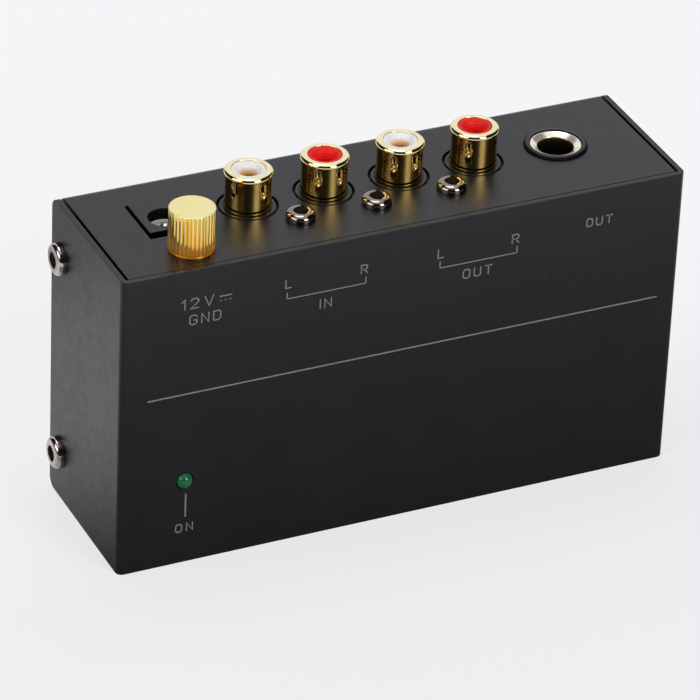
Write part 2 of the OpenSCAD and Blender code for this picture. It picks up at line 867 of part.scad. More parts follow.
module op_amp() {
  color(black_plastic) for (s = op_amp_spots) {
    difference() {
      translate([s[0] - chip_size[0] / 2, board_y - 0.5 - chip_size[1], s[1] - chip_size[2] / 2]) {
        cube(chip_size);
      }
      along_y(s[0] - chip_size[0] / 2, s[1], board_y - 5, board_y - chip_size[1] - 0.2, 1.6);
    }
  }
  color(nickel) for (s = chip_leads(op_amp_spots)) {
    along_y(s[0], s[1], board_y - 2.2, lead_end_y, lead_d);
    inner = s[1] > op_amp_spots[0][1] ? -1 : 0;
    translate([s[0] - 0.3, board_y - 2.4, s[1] + inner * 0.7]) cube([0.6, 0.3, 0.7]);
  }
}

// Upright regulator with its metal tab
module voltage_regulator() {
  x = regulator_spot[0];
  z = regulator_spot[1];
  color(black_plastic) translate([x - 5, board_y - 13, z - 1.2]) cube([10, 9, 3.2]);
  color(nickel) {
    difference() {
      translate([x - 5, board_y - 19, z + 2]) cube([10, 15, 1.2]);
      translate([x, board_y - 16.4, z]) cylinder(d = 3.6, h = 5);
    }
    for (s = regulator_leads) {
      along_y(s[0], s[1], board_y - 4, lead_end_y, lead_d);
    }
  }
}

module electrolytic_capacitors() {
  color("#26282c") for (s = electrolytic_spots) {
    translate([s[0], board_y, s[1]]) rotate([90, 0, 0]) difference() {
      domed_disc(electrolytic_d, electrolytic_h, 0.6);
      for (a = [0, 90]) {
        rotate([0, 0, a]) translate([-2.4, -0.1, electrolytic_h - 0.25]) cube([4.8, 0.2, 1]);
      }
    }
  }
  color(nickel) for (s = electrolytic_leads) {
    along_y(s[0], s[1], board_y - eps, lead_end_y, lead_d);
  }
}

module film_capacitors() {
  color("#b5342a") for (s = film_spots) {
    translate([s[0] - film_size[0] / 2, board_y - film_size[1], s[1] - film_size[2] / 2]) {
      cube(film_size);
    }
  }
  color(nickel) for (s = film_leads) {
    along_y(s[0], s[1], board_y - eps, lead_end_y, lead_d);
  }
}

// Lying part with a round body between two bent leads, upright or turned on its side
module axial_part(spot, d, length, pitch, turn) {
  y = board_y - d / 2 - 0.2;
  translate([spot[0], 0, spot[1]]) rotate([0, turn, 0]) {
    translate([0, y, 0]) {
      cylinder(d = d, h = length, center = true);
      cylinder(d = lead_d, h = pitch + lead_d, center = true);
    }
    for (k = [-1, 1]) {
      along_y(0, k * pitch / 2, y, lead_end_y, lead_d);
    }
  }
}

module resistors() {
  color("#6f8fb0") for (s = resistor_spots) {
    axial_part(s, resistor_d, resistor_l, resistor_pitch, 90);
  }
}

module diodes() {
  color(black_plastic) for (s = diode_spots) {
    axial_part(s, diode_d, diode_l, diode_pitch, 0);
  }
}

front_cover();
chassis();
socket_panel();
cover_screws();
jack_screws();
rca_block();
rca_shell(0);  // rca_shell_1
rca_shell(1);  // rca_shell_2
rca_shell(2);  // rca_shell_3
rca_shell(3);  // rca_shell_4
rca_insulator(0);  // rca_insulator_1
rca_insulator(1);  // rca_insulator_2
rca_insulator(2);  // rca_insulator_3
rca_insulator(3);  // rca_insulator_4
rca_contact(0);  // rca_contact_1
rca_contact(1);  // rca_contact_2
rca_contact(2);  // rca_contact_3
rca_contact(3);  // rca_contact_4
phone_jack_body();
phone_jack_ferrule();
phone_jack_ring();
phone_jack_tip_spring();
phone_jack_ring_spring();
dc_inlet_body();
dc_inlet_pin();
dc_inlet_sleeve();
dc_inlet_spring();
ground_thumb_screw();
ground_washer();
ground_bush();
ground_lug();
ground_lug_nut();
ground_wire();
led_lens();
led_leads();
led_spacer();
circuit_board();
board_standoffs();
board_screws();
op_amp();
voltage_regulator();
electrolytic_capacitors();
film_capacitors();
resistors();
diodes();
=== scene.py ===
import math
import bmesh
import bpy
from mathutils import Euler, Matrix, Vector


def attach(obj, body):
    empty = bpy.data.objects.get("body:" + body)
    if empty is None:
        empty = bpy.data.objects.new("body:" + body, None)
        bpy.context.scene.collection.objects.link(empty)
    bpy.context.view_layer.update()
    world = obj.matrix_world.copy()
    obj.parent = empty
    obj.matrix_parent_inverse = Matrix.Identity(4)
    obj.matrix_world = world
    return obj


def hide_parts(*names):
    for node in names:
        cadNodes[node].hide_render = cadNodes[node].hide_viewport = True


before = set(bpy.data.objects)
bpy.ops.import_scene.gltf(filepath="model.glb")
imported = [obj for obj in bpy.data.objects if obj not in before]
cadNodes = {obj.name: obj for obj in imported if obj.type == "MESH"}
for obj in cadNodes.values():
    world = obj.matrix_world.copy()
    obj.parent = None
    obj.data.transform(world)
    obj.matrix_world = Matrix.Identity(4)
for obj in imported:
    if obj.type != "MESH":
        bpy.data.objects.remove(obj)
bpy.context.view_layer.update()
mm = 0.001
panelHeight = 57.5  # socket panel above the base, mm
print("frame loaded:", len(cadNodes), "nodes")

# ---- camera ----

cameraSet = {
    "place": (-0.330092, -0.673422, 0.485014),
    "turn": (58.4169, -2.1988, -24.5745),
    "lens": 262.17,
}


def placeCamera(values):
    data = bpy.data.cameras.new("camera")
    data.lens = values["lens"]
    data.sensor_width = 36
    data.clip_start = 0.01
    data.clip_end = 100
    camera = bpy.data.objects.new("camera", data)
    camera.location = values["place"]
    camera.rotation_euler = Euler([math.radians(a) for a in values["turn"]])
    bpy.context.scene.collection.objects.link(camera)
    bpy.context.scene.camera = camera


placeCamera(cameraSet)
bpy.context.scene.view_settings.view_transform = "Standard"
print("camera placed")

# ---- node helpers for the finishes ----

colourA, colourB, colourOut = 6, 7, 2  # a Mix node's colour sockets


def startFinish(name):
    finish = bpy.data.materials.new(name)
    finish.use_nodes = True
    tree = finish.node_tree
    shader = tree.nodes["Principled BSDF"]
    place = tree.nodes.new("ShaderNodeTexCoord")
    return finish, tree, shader, place.outputs["Object"]


def setSockets(shader, values):
    for name, value in values.items():
        shader.inputs[name].default_value = value


def addNoise(tree, place, size, detail=3.0, stretch=None):
    if stretch:
        mapping = tree.nodes.new("ShaderNodeMapping")
        mapping.inputs["Scale"].default_value = stretch
        tree.links.new(place, mapping.inputs["Vector"])
        place = mapping.outputs["Vector"]
    noise = tree.nodes.new("ShaderNodeTexNoise")
    noise.inputs["Scale"].default_value = 1 / (size * mm)  # size is in mm
    noise.inputs["Detail"].default_value = detail
    tree.links.new(place, noise.inputs["Vector"])
    return noise.outputs["Fac"]


def addRamp(tree, value, stops):
    ramp = tree.nodes.new("ShaderNodeValToRGB")
    while len(ramp.color_ramp.elements) < len(stops):
        ramp.color_ramp.elements.new(0.5)
    for element, (position, colour) in zip(ramp.color_ramp.elements, stops):
        element.position = position
        element.color = (*colour, 1)
    tree.links.new(value, ramp.inputs["Fac"])
    return ramp.outputs["Color"]


# Carries a value from one span over to another
def addRange(tree, value, low, high, lowIn=0.3, highIn=0.7):
    spread = tree.nodes.new("ShaderNodeMapRange")
    spread.inputs["From Min"].default_value = lowIn
    spread.inputs["From Max"].default_value = highIn
    spread.inputs["To Min"].default_value = low
    spread.inputs["To Max"].default_value = high
    tree.links.new(value, spread.inputs["Value"])
    return spread.outputs["Result"]


# One coordinate of a place
def addAxis(tree, place, axis):
    parts = tree.nodes.new("ShaderNodeSeparateXYZ")
    tree.links.new(place, parts.inputs["Vector"])
    return parts.outputs[axis]


def addProduct(tree, first, second):
    product = tree.nodes.new("ShaderNodeMath")
    product.operation = "MULTIPLY"
    for socket, value in zip(product.inputs, (first, second)):
        if isinstance(value, float):
            socket.default_value = value
        else:
            tree.links.new(value, socket)
    return product.outputs["Value"]


# A colour that turns into a second, plain one by a share
def addBlend(tree, share, colour, plain):
    blend = tree.nodes.new("ShaderNodeMix")
    blend.data_type = "RGBA"
    tree.links.new(share, blend.inputs["Factor"])
    tree.links.new(colour, blend.inputs[colourA])
    blend.inputs[colourB].default_value = (*plain, 1)
    return blend.outputs[colourOut]


def addTint(tree, colour, tint):
    blend = tree.nodes.new("ShaderNodeMix")
    blend.data_type = "RGBA"
    blend.blend_type = "MULTIPLY"
    blend.inputs["Factor"].default_value = 1.0
    tree.links.new(colour, blend.inputs[colourA])
    tree.links.new(tint, blend.inputs[colourB])
    return blend.outputs[colourOut]


def addShaderMix(tree, share, first, second):
    choice = tree.nodes.new("ShaderNodeMixShader")
    tree.links.new(share, choice.inputs["Fac"])
    tree.links.new(first, choice.inputs[1])
    tree.links.new(second, choice.inputs[2])
    return choice.outputs["Shader"]


def addBump(tree, shader, height, depth):
    bump = tree.nodes.new("ShaderNodeBump")
    bump.inputs["Distance"].default_value = depth * mm
    tree.links.new(height, bump.inputs["Height"])
    tree.links.new(bump.outputs["Normal"], shader.inputs["Normal"])


# Colour between two shades, roughness and surface relief, each from its own noise; patch and grain
# are the noises' sizes and relief is its height, mm
def makeFinish(name, dark, light, patch, rough, grain, relief, **sockets):
    finish, tree, shader, place = startFinish(name)
    colour = addRamp(tree, addNoise(tree, place, patch), [(0.3, dark), (0.7, light)])
    tree.links.new(colour, shader.inputs["Base Color"])
    roughness = addRange(tree, addNoise(tree, place, grain * 4), *rough)
    tree.links.new(roughness, shader.inputs["Roughness"])
    addBump(tree, shader, addNoise(tree, place, grain, 2.0), relief)
    setSockets(shader, {key.replace("_", " "): value for key, value in sockets.items()})
    return finish


# ---- mesh helpers ----

edgeAngle = 40  # a bend sharper than this counts as an edge, degrees


# Points of an outline (across, up, radius in mm) with each corner rounded by its radius
def roundedOutline(corners, closed=True, steps=5):
    points = []
    last = len(corners) - 1
    for index, (across, up, radius) in enumerate(corners):
        here = Vector((across, up))
        if radius <= 0 or (not closed and index in (0, last)):
            points.append(here)
            continue
        back = (Vector(corners[index - 1][:2]) - here).normalized()
        ahead = (Vector(corners[(index + 1) % len(corners)][:2]) - here).normalized()
        half = math.acos(max(-1, min(1, back.dot(ahead)))) / 2
        centre = here + (back + ahead).normalized() * (radius / math.sin(half))
        first = here + back * (radius / math.tan(half)) - centre
        second = here + ahead * (radius / math.tan(half)) - centre
        turn = math.atan2(first.x * second.y - first.y * second.x, first.dot(second))
        for step in range(steps + 1):
            part = turn * step / steps
            c, s = math.cos(part), math.sin(part)
            points.append(centre + Vector((first.x * c - first.y * s, first.x * s + first.y * c)))
    return points


# Adds points along the straight stretches so that none is longer than the given step
def splitOutline(points, step, low, high):
    result = []
    for index, point in enumerate(points):
        ahead = points[(index + 1) % len(points)]
        result.append(point)
        length = (ahead - point).length
        if length > step and min(point.y, ahead.y) < high and max(point.y, ahead.y) > low:
            count = math.ceil(length / step)
            result += [point.lerp(ahead, k / count) for k in range(1, count)]
    return result


# Turns an outline round the Z axis; warp may move a point (angle, across, up)
def turnedMesh(points, segments=96, closed=True, warp=None):
    mesh = bmesh.new()
    rings = []
    for point in points:
        if point.x < 1e-5:
            rings.append([mesh.verts.new((0, 0, point.y * mm))])
            continue
        ring = []
        for k in range(segments):
            angle = 2 * math.pi * k / segments
            across, up = warp(angle, point.x, point.y) if warp else (point.x, point.y)
            place = (across * math.cos(angle) * mm, across * math.sin(angle) * mm, up * mm)
            ring.append(mesh.verts.new(place))
        rings.append(ring)
    pairs = list(zip(rings, rings[1:] + rings[:1])) if closed else list(zip(rings, rings[1:]))
    for lower, upper in pairs:
        for k in range(segments):
            n = (k + 1) % segments
            if len(lower) == 1 and len(upper) == 1:
                continue
            if len(lower) == 1:
                mesh.faces.new((lower[0], upper[n], upper[k]))
            elif len(upper) == 1:
                mesh.faces.new((lower[k], lower[n], upper[0]))
            else:
                mesh.faces.new((lower[k], lower[n], upper[n], upper[k]))
    bmesh.ops.recalc_face_normals(mesh, faces=mesh.faces)
    return mesh


# Place in mm; edges sharper than the given angle stay hard
def meshToPiece(name, mesh, finish, place=(0, 0, 0), sharp=35):
    data = bpy.data.meshes.new(name)
    mesh.to_mesh(data)
    mesh.free()
    data.transform(Matrix.Translation(Vector(place) * mm))
    data.shade_smooth()
    data.set_sharp_from_angle(angle=math.radians(sharp))
    data.materials.append(finish)
    piece = bpy.data.objects.new(name, data)
    bpy.context.scene.collection.objects.link(piece)
    return piece


def applyModifiers(piece):
    graph = bpy.context.evaluated_depsgraph_get()
    data = bpy.data.meshes.new_from_object(piece.evaluated_get(graph))
    piece.modifiers.clear()
    piece.data = data


def combine(piece, other, operation):
    step = piece.modifiers.new("combine", "BOOLEAN")
    step.operation = operation
    step.solver = "EXACT"
    step.material_mode = "TRANSFER"
    step.object = other
    applyModifiers(piece)
    bpy.data.objects.remove(other)


def cutAway(piece, cutter):
    combine(piece, cutter, "DIFFERENCE")


def boxMesh(low, high):
    mesh = bmesh.new()
    bmesh.ops.create_cube(mesh, size=1)
    size = Vector(high) - Vector(low)
    middle = (Vector(high) + Vector(low)) / 2
    for vert in mesh.verts:
        vert.co = Vector([(middle[i] + vert.co[i] * size[i]) * mm for i in range(3)])
    return mesh


def addMesh(mesh, other):
    data = bpy.data.meshes.new("part")
    other.to_mesh(data)
    other.free()
    mesh.from_mesh(data)
    bpy.data.meshes.remove(data)


# A copy of one solid's mesh, or of several that are welded together, with a small round on its
# edges, but for those in sharpBox (two corners, mm)
def softenedCopy(nodes, finish, width, segments=2, sharpBox=None):
    copies = []
    for node in nodes:
        mesh = bmesh.new()
        mesh.from_mesh(cadNodes[node].data)
        bmesh.ops.remove_doubles(mesh, verts=mesh.verts, dist=1e-7)  # its faces come unwelded
        copies.append(meshToPiece(node + "_soft", mesh, finish))
    piece = copies[0]
    for other in copies[1:]:
        combine(piece, other, "UNION")
    mesh = bmesh.new()
    mesh.from_mesh(piece.data)
    bmesh.ops.dissolve_limit(
        mesh, angle_limit=math.radians(0.5), use_dissolve_boundaries=False,
        verts=mesh.verts, edges=mesh.edges,
    )
    weights = mesh.edges.layers.float.new("bevel_weight_edge")
    for edge in mesh.edges:
        middle = (edge.verts[0].co + edge.verts[1].co) / 2 / mm
        kept = sharpBox and all(
            low < place < high for low, place, high in zip(sharpBox[0], middle, sharpBox[1])
        )
        if not kept and edge.calc_face_angle(0) > math.radians(edgeAngle):
            edge[weights] = 1
    mesh.to_mesh(piece.data)
    mesh.free()
    bevel = piece.modifiers.new("edges", "BEVEL")
    bevel.width = width * mm
    bevel.segments = segments
    bevel.limit_method = "WEIGHT"
    applyModifiers(piece)
    piece.data.shade_smooth()
    piece.data.set_sharp_from_angle(angle=math.radians(edgeAngle))
    evenFaces(piece)
    return piece


# Large flat faces stay evenly lit, and only the rounds between them are shaded as curved
def evenFaces(piece):
    weighted = piece.modifiers.new("even", "WEIGHTED_NORMAL")
    weighted.mode = "FACE_AREA"
    weighted.keep_sharp = True
    applyModifiers(piece)


def fitPiece(piece, body, slotName, *replaced):
    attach(piece, body)
    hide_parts(*replaced)


# ---- floor, backdrop and lamps ----

studioSet = {
    "floorSize": 6.0,
    "floorDepth": 0.02,
    "floorColour": (0.86, 0.86, 0.87),
    "seenShare": 0.76,  # share of the floor that the camera sees as plain white paper
    "mirrorShare": 0.8,  # the same for reflections
    # painted shade and light on that paper from the front to the back, (y in m, colour): as seen,
    # and in reflections
    "seenPaintedShade": [
        (-0.16, (0.875, 0.87, 0.895)), (-0.02, (0.88, 0.875, 0.895)), (0.03, (0.965, 0.96, 0.975)),
        (0.18, (0.98, 0.97, 0.995)),
    ],
    "mirrorPaintedShade": [
        (-0.2, (0.94, 0.935, 1.0)), (-0.103, (0.94, 0.935, 1.0)), (-0.097, (0.24, 0.245, 0.25)),
        (-0.012, (0.12, 0.122, 0.13)), (0.026, (0.95, 0.965, 1.0)), (0.066, (0.95, 0.965, 1.0)),
        (0.09, (0.42, 0.425, 0.46)), (0.2, (0.7, 0.7, 0.73)),
    ],
    # the painted shade in reflections ends beyond these two x in m, where the paper is bright again
    "mirrorSides": (-0.135, 0.14),
    "mirrorFade": 0.006,
    "skyColour": (0.87, 0.875, 0.93),
    "skyFill": 0.4,  # how much the surroundings light the object
    # azimuth from +X and elevation in degrees, distance and size in m, brightness, colour
    "lamps": [
        ("softboxLeft", 190, 32, 0.9, (0.66, 0.46), 3.0, (1.0, 0.99, 0.97)),
        ("softboxRight", 289, 32, 0.9, (0.36, 0.46), 7.5, (1.0, 0.985, 0.96)),
        ("softboxTop", 80, 75, 1.0, (0.4, 0.4), 4.0, (1.0, 1.0, 1.0)),
    ],
    "lampAim": (0, 0, 0.04),
    # black curtain behind the camera: azimuths in degrees, distance, height and thickness in m
    "curtain": (102, 388, 1.7, 3.1, 0.01),
    "curtainSteps": 48,
}


def lightPathWhite(tree):
    path = tree.nodes.new("ShaderNodeLightPath")
    total = path.outputs["Is Camera Ray"]
    for name in ("Is Glossy Ray", "Is Transmission Ray"):
        larger = tree.nodes.new("ShaderNodeMath")
        larger.operation = "MAXIMUM"
        tree.links.new(total, larger.inputs[0])
        tree.links.new(path.outputs[name], larger.inputs[1])
        total = larger.outputs["Value"]
    return total


def buildWorld(values):
    world = bpy.data.worlds.new("studioSky")
    bpy.context.scene.world = world
    world.use_nodes = True
    tree = world.node_tree
    fill = tree.nodes["Background"]
    fill.inputs["Color"].default_value = (*values["skyColour"], 1)
    fill.inputs["Strength"].default_value = values["skyFill"]
    seen = tree.nodes.new("ShaderNodeBackground")
    seen.inputs["Color"].default_value = (*values["skyColour"], 1)
    seen.inputs["Strength"].default_value = 1.0
    sky = addShaderMix(
        tree, lightPathWhite(tree), fill.outputs["Background"], seen.outputs["Background"],
    )
    tree.links.new(sky, tree.nodes["World Output"].inputs["Surface"])


def buildFloor(values):
    finish = bpy.data.materials.new("paperFloor")
    finish.use_nodes = True
    tree = finish.node_tree
    tree.nodes.remove(tree.nodes["Principled BSDF"])
    paper = tree.nodes.new("ShaderNodeBsdfDiffuse")
    paper.inputs["Color"].default_value = (*values["floorColour"], 1)
    place = tree.nodes.new("ShaderNodeTexCoord").outputs["Object"]
    across, back = addAxis(tree, place, "X"), addAxis(tree, place, "Y")
    path = tree.nodes.new("ShaderNodeLightPath")
    under = paper.outputs["BSDF"]
    for shareKey, shadeKey, rays in (
        ("seenShare", "seenPaintedShade", ["Is Camera Ray"]),
        ("mirrorShare", "mirrorPaintedShade", ["Is Glossy Ray", "Is Transmission Ray"]),
    ):
        # painted shade on the paper by its depth, and for reflections also by its side
        stops = values[shadeKey]
        first, last = stops[0][0], stops[-1][0]
        depth = addRange(tree, back, 0, 1, first, last)
        shares = [((y - first) / (last - first), colour) for y, colour in stops]
        shade = addRamp(tree, depth, shares)
        if shadeKey == "mirrorPaintedShade":
            left, right = values["mirrorSides"]
            fade = values["mirrorFade"]
            for side, (low, high) in ((left, (1, 0)), (right, (0, 1))):
                beyond = addRange(tree, across, low, high, side - fade, side + fade)
                shade = addBlend(tree, beyond, shade, stops[0][1])
        glow = tree.nodes.new("ShaderNodeEmission")
        tree.links.new(shade, glow.inputs["Color"])
        for ray in rays:
            share = addProduct(tree, path.outputs[ray], values[shareKey])
            under = addShaderMix(tree, share, under, glow.outputs["Emission"])
    tree.links.new(under, tree.nodes["Material Output"].inputs["Surface"])
    half, depth = values["floorSize"] / 2 / mm, values["floorDepth"] / mm
    mesh = boxMesh((-half, -half, -depth), (half, half, 0))
    meshToPiece("floor", mesh, finish)


# Dark cloth on the camera's side, seen only in reflections, as in a real studio
def buildCurtain(values):
    start, stop, distance, height, thick = values["curtain"]
    steps = values["curtainSteps"]
    finish = makeFinish(
        "blackCurtain", (0.01, 0.01, 0.011), (0.016, 0.016, 0.017), 40, (0.8, 0.9), 8, 0.5,
    )
    mesh = bmesh.new()
    outer, inner = [], []
    for k in range(steps + 1):
        angle = math.radians(start + (stop - start) * k / steps)
        for ring, away in ((inner, distance), (outer, distance + thick)):
            x, y = away * math.cos(angle), away * math.sin(angle)
            ring.append([mesh.verts.new((x, y, z)) for z in (0.0, height)])
    for k in range(steps):
        mesh.faces.new((inner[k][0], inner[k + 1][0], inner[k + 1][1], inner[k][1]))
        mesh.faces.new((outer[k][1], outer[k + 1][1], outer[k + 1][0], outer[k][0]))
        mesh.faces.new((inner[k][1], inner[k + 1][1], outer[k + 1][1], outer[k][1]))
    curtain = meshToPiece("curtain", mesh, finish)
    curtain.visible_camera = False
    curtain.visible_diffuse = False
    curtain.visible_shadow = False


def buildLamps(values):
    for name, azimuth, elevation, distance, size, brightness, colour in values["lamps"]:
        data = bpy.data.lights.new(name, "AREA")
        data.shape = "RECTANGLE"
        data.size, data.size_y = size
        data.energy = brightness * math.pi * size[0] * size[1]  # watts for that radiance
        data.color = colour
        lamp = bpy.data.objects.new(name, data)
        turn, up = math.radians(azimuth), math.radians(elevation)
        level = math.cos(up)
        way = Vector((level * math.cos(turn), level * math.sin(turn), math.sin(up)))
        lamp.location = way * distance + Vector(values["lampAim"])
        lamp.rotation_euler = way.to_track_quat("Z", "Y").to_euler()
        bpy.context.scene.collection.objects.link(lamp)


buildWorld(studioSet)
buildFloor(studioSet)
buildCurtain(studioSet)
buildLamps(studioSet)
print("studio ready")

# ---- enclosure: front cover and chassis ----

coatSet = {
    "dark": (0.0036, 0.0037, 0.0047),
    "light": (0.0054, 0.0055, 0.0067),
    "drift": 9.0,  # size of the colour's patches, mm
    "rough": (0.32, 0.40),
    "roughPatch": 1.6,
    "ior": 1.45,
    "grain": 0.32,  # size of the powder's orange peel, mm
    "relief": 0.006,
    # specks of dust: spacing in mm, inner and outer radius as shares of it, how rare, colour
    "speckSpacing": 2.6,
    "speckRadius": (0.018, 0.032),
    "speckRare": (0.93, 0.95),
    "speckColour": (0.16, 0.155, 0.15),
    "edge": 0.22,  # round on the sheet's edges, mm
    "coverEdge": 0.34,
    # the window's back edge, closed by the power inlet
    "sharpBox": ((-43, 7.5, 56), (-31.5, 8.3, 58)),
}


# Powder coat: orange peel, slight colour drift and a few pale specks of dust
def makePowderCoat(values):
    finish, tree, shader, place = startFinish("powderCoat")
    patches = addNoise(tree, place, values["drift"])
    drift = addRamp(tree, patches, [(0.3, values["dark"]), (0.7, values["light"])])
    cells = tree.nodes.new("ShaderNodeTexVoronoi")
    cells.inputs["Scale"].default_value = 1 / (values["speckSpacing"] * mm)
    tree.links.new(place, cells.inputs["Vector"])
    near = addRange(tree, cells.outputs["Distance"], 1, 0, *values["speckRadius"])
    chosen = tree.nodes.new("ShaderNodeSeparateColor")
    tree.links.new(cells.outputs["Color"], chosen.inputs["Color"])
    rare = addRange(tree, chosen.outputs["Red"], 0, 1, *values["speckRare"])
    colour = addBlend(tree, addProduct(tree, near, rare), drift, values["speckColour"])
    tree.links.new(colour, shader.inputs["Base Color"])
    rough = addRange(tree, addNoise(tree, place, values["roughPatch"]), *values["rough"])
    tree.links.new(rough, shader.inputs["Roughness"])
    addBump(tree, shader, addNoise(tree, place, values["grain"], 2.0), values["relief"])
    setSockets(shader, {"IOR": values["ior"]})
    return finish


powderCoat = makePowderCoat(coatSet)
for nodes, edge in (
    (["front_cover"], coatSet["coverEdge"]),
    (["chassis", "socket_panel"], coatSet["edge"]),
):
    sheet = softenedCopy(nodes, powderCoat, edge, 3, coatSet["sharpBox"])
    fitPiece(sheet, "enclosure", "powder_coat", *nodes)
print("enclosure coated")

# ---- front print ----

printSet = {
    "face": -15.5,
    "proud": 0.02,  # how far the ink stands out, and how far it goes in, mm
    "stroke": 0.23,
    "colour": (0.165, 0.17, 0.185),
    # text, x of its left edge, baseline, cap height, letter gap as a share of the height
    "labels": [
        ("1", -41.35, 50.2, 1.85, 0.4),
        ("2", -39.7, 50.2, 1.85, 0.4),
        ("V", -37.2, 50.15, 1.9, 0.4),
        ("GND", -39.85, 47.1, 1.75, 0.48),
        ("L", -22.62, 50.46, 1.56, 0.4),
        ("R", -8.82, 50.38, 1.56, 0.4),
        ("IN", -16.15, 45.2, 1.65, 0.5),
        ("L", 5.4, 50.35, 1.65, 0.4),
        ("R", 19.3, 50.35, 1.65, 0.4),
        ("OUT", 10.35, 45.35, 1.65, 0.5),
        ("OUT", 33.37, 50.65, 1.5, 0.5),
        ("ON", -41.5, 6.3, 1.5, 0.6),
    ],
    # lines as (points, width)
    "lines": [
        ([(-47.06, 33.7), (48.06, 33.7)], 0.28),
        ([(-39.8, 13.7), (-39.8, 9.25)], 0.29),
        ([(-22.3, 49.45), (-22.3, 48.5), (-22.15, 48.35), (-8.05, 48.35), (-7.9, 48.5),
          (-7.9, 49.5)], 0.21),
        ([(5.85, 49.55), (5.85, 48.5), (6.0, 48.35), (20.15, 48.35), (20.3, 48.5),
          (20.3, 49.55)], 0.21),
        ([(-34.5, 51.47), (-32.45, 51.47)], 0.24),
        ([(-34.5, 50.65), (-34.2, 50.65)], 0.14),
        ([(-33.65, 50.65), (-33.35, 50.65)], 0.14),
        ([(-32.8, 50.65), (-32.5, 50.65)], 0.14),
    ],
}

# Strokes of each letter in a box one cap height tall: (width, strokes)
letterStrokes = {
    "1": (0.34, [[(0, 0.76), (0.3, 1), (0.3, 0)]]),
    "2": (0.72, [[(0, 0.8), (0.16, 1), (0.56, 1), (0.72, 0.84), (0.72, 0.62), (0, 0), (0.74, 0)]]),
    "V": (0.8, [[(0, 1), (0.4, 0), (0.8, 1)]]),
    "G": (0.74, [[(0.72, 0.82), (0.56, 1), (0.16, 1), (0, 0.82), (0, 0.18), (0.16, 0), (0.56, 0),
                  (0.72, 0.18), (0.72, 0.46), (0.42, 0.46)]]),
    "N": (0.74, [[(0, 0), (0, 1), (0.72, 0), (0.72, 1)]]),
    "D": (0.74, [[(0, 0), (0, 1), (0.54, 1), (0.72, 0.82), (0.72, 0.18), (0.54, 0), (0, 0)]]),
    "L": (0.6, [[(0, 1), (0, 0), (0.6, 0)]]),
    "R": (0.72, [[(0, 0), (0, 1), (0.54, 1), (0.7, 0.86), (0.7, 0.6), (0.54, 0.46), (0, 0.46)],
                 [(0.38, 0.46), (0.72, 0)]]),
    "I": (0.0, [[(0, 0), (0, 1)]]),
    "O": (0.74, [[(0.36, 1), (0.16, 1), (0, 0.82), (0, 0.18), (0.16, 0), (0.56, 0), (0.72, 0.18),
                  (0.72, 0.82), (0.56, 1), (0.36, 1)]]),
    "U": (0.74, [[(0, 1), (0, 0.18), (0.16, 0), (0.56, 0), (0.72, 0.18), (0.72, 1)]]),
    "T": (0.76, [[(0, 1), (0.76, 1)], [(0.38, 1), (0.38, 0)]]),
}


# A flat printed line with mitred bends and round ends, standing on the label face
def printedLine(points, width, face, proud):
    half = width / 2
    line = [Vector(p) for p in points]
    ways = [(b - a).normalized() for a, b in zip(line, line[1:])]
    left, right = [], []
    for i, point in enumerate(line):
        before = ways[max(i - 1, 0)]
        after = ways[min(i, len(ways) - 1)]
        mean = (before + after).normalized()
        reach = half / max(0.5, mean.dot(after))
        side = Vector((-mean.y, mean.x)) * reach
        left.append(point + side)
        right.append(point - side)
    closed = (line[0] - line[-1]).length < 1e-6
    mesh = bmesh.new()

    def corner(p, depth):
        return mesh.verts.new((p.x * mm, depth * mm, p.y * mm))

    def roundEnd(point, way, quarter, steps=6):
        start = math.atan2(way.y, way.x) + quarter
        angles = [start + math.pi * k / steps for k in range(1, steps)]
        return [point + Vector((math.cos(angle), math.sin(angle))) * half for angle in angles]

    strips = [[left[i], left[i + 1], right[i + 1], right[i]] for i in range(len(line) - 1)]
    if not closed:
        strips.append([left[0], *roundEnd(line[0], ways[0], math.pi / 2), right[0]])
        strips.append([right[-1], *roundEnd(line[-1], ways[-1], -math.pi / 2), left[-1]])
    for strip in strips:
        front = [corner(p, face - proud) for p in strip]
        back = [corner(p, face + proud) for p in strip]
        mesh.faces.new(front)
        mesh.faces.new(back[::-1])
        for k in range(len(strip)):
            n = (k + 1) % len(strip)
            mesh.faces.new((front[k], back[k], back[n], front[n]))
    bmesh.ops.recalc_face_normals(mesh, faces=mesh.faces)
    return mesh


def printFront(values):
    dark, light = (tuple(share * c for c in values["colour"]) for share in (0.88, 1.1))
    ink = makeFinish("labelInk", dark, light, 0.5, (0.4, 0.55), 0.12, 0.004, IOR=1.4)
    face, proud = values["face"], values["proud"]
    for number, (points, width) in enumerate(values["lines"]):
        mesh = printedLine(points, width, face, proud)
        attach(meshToPiece("print_line_%d" % (number + 1), mesh, ink), "enclosure")
    for number, (text, left, base, height, gap) in enumerate(values["labels"]):
        mesh, at = bmesh.new(), left
        for letter in text:
            width, strokes = letterStrokes[letter]
            for stroke in strokes:
                points = [(at + x * height, base + z * height) for x, z in stroke]
                addMesh(mesh, printedLine(points, values["stroke"], face, proud))
            at += (width + gap) * height
        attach(meshToPiece("print_label_%d" % (number + 1), mesh, ink), "enclosure")


printFront(printSet)
print("front printed")

# ---- phono sockets ----

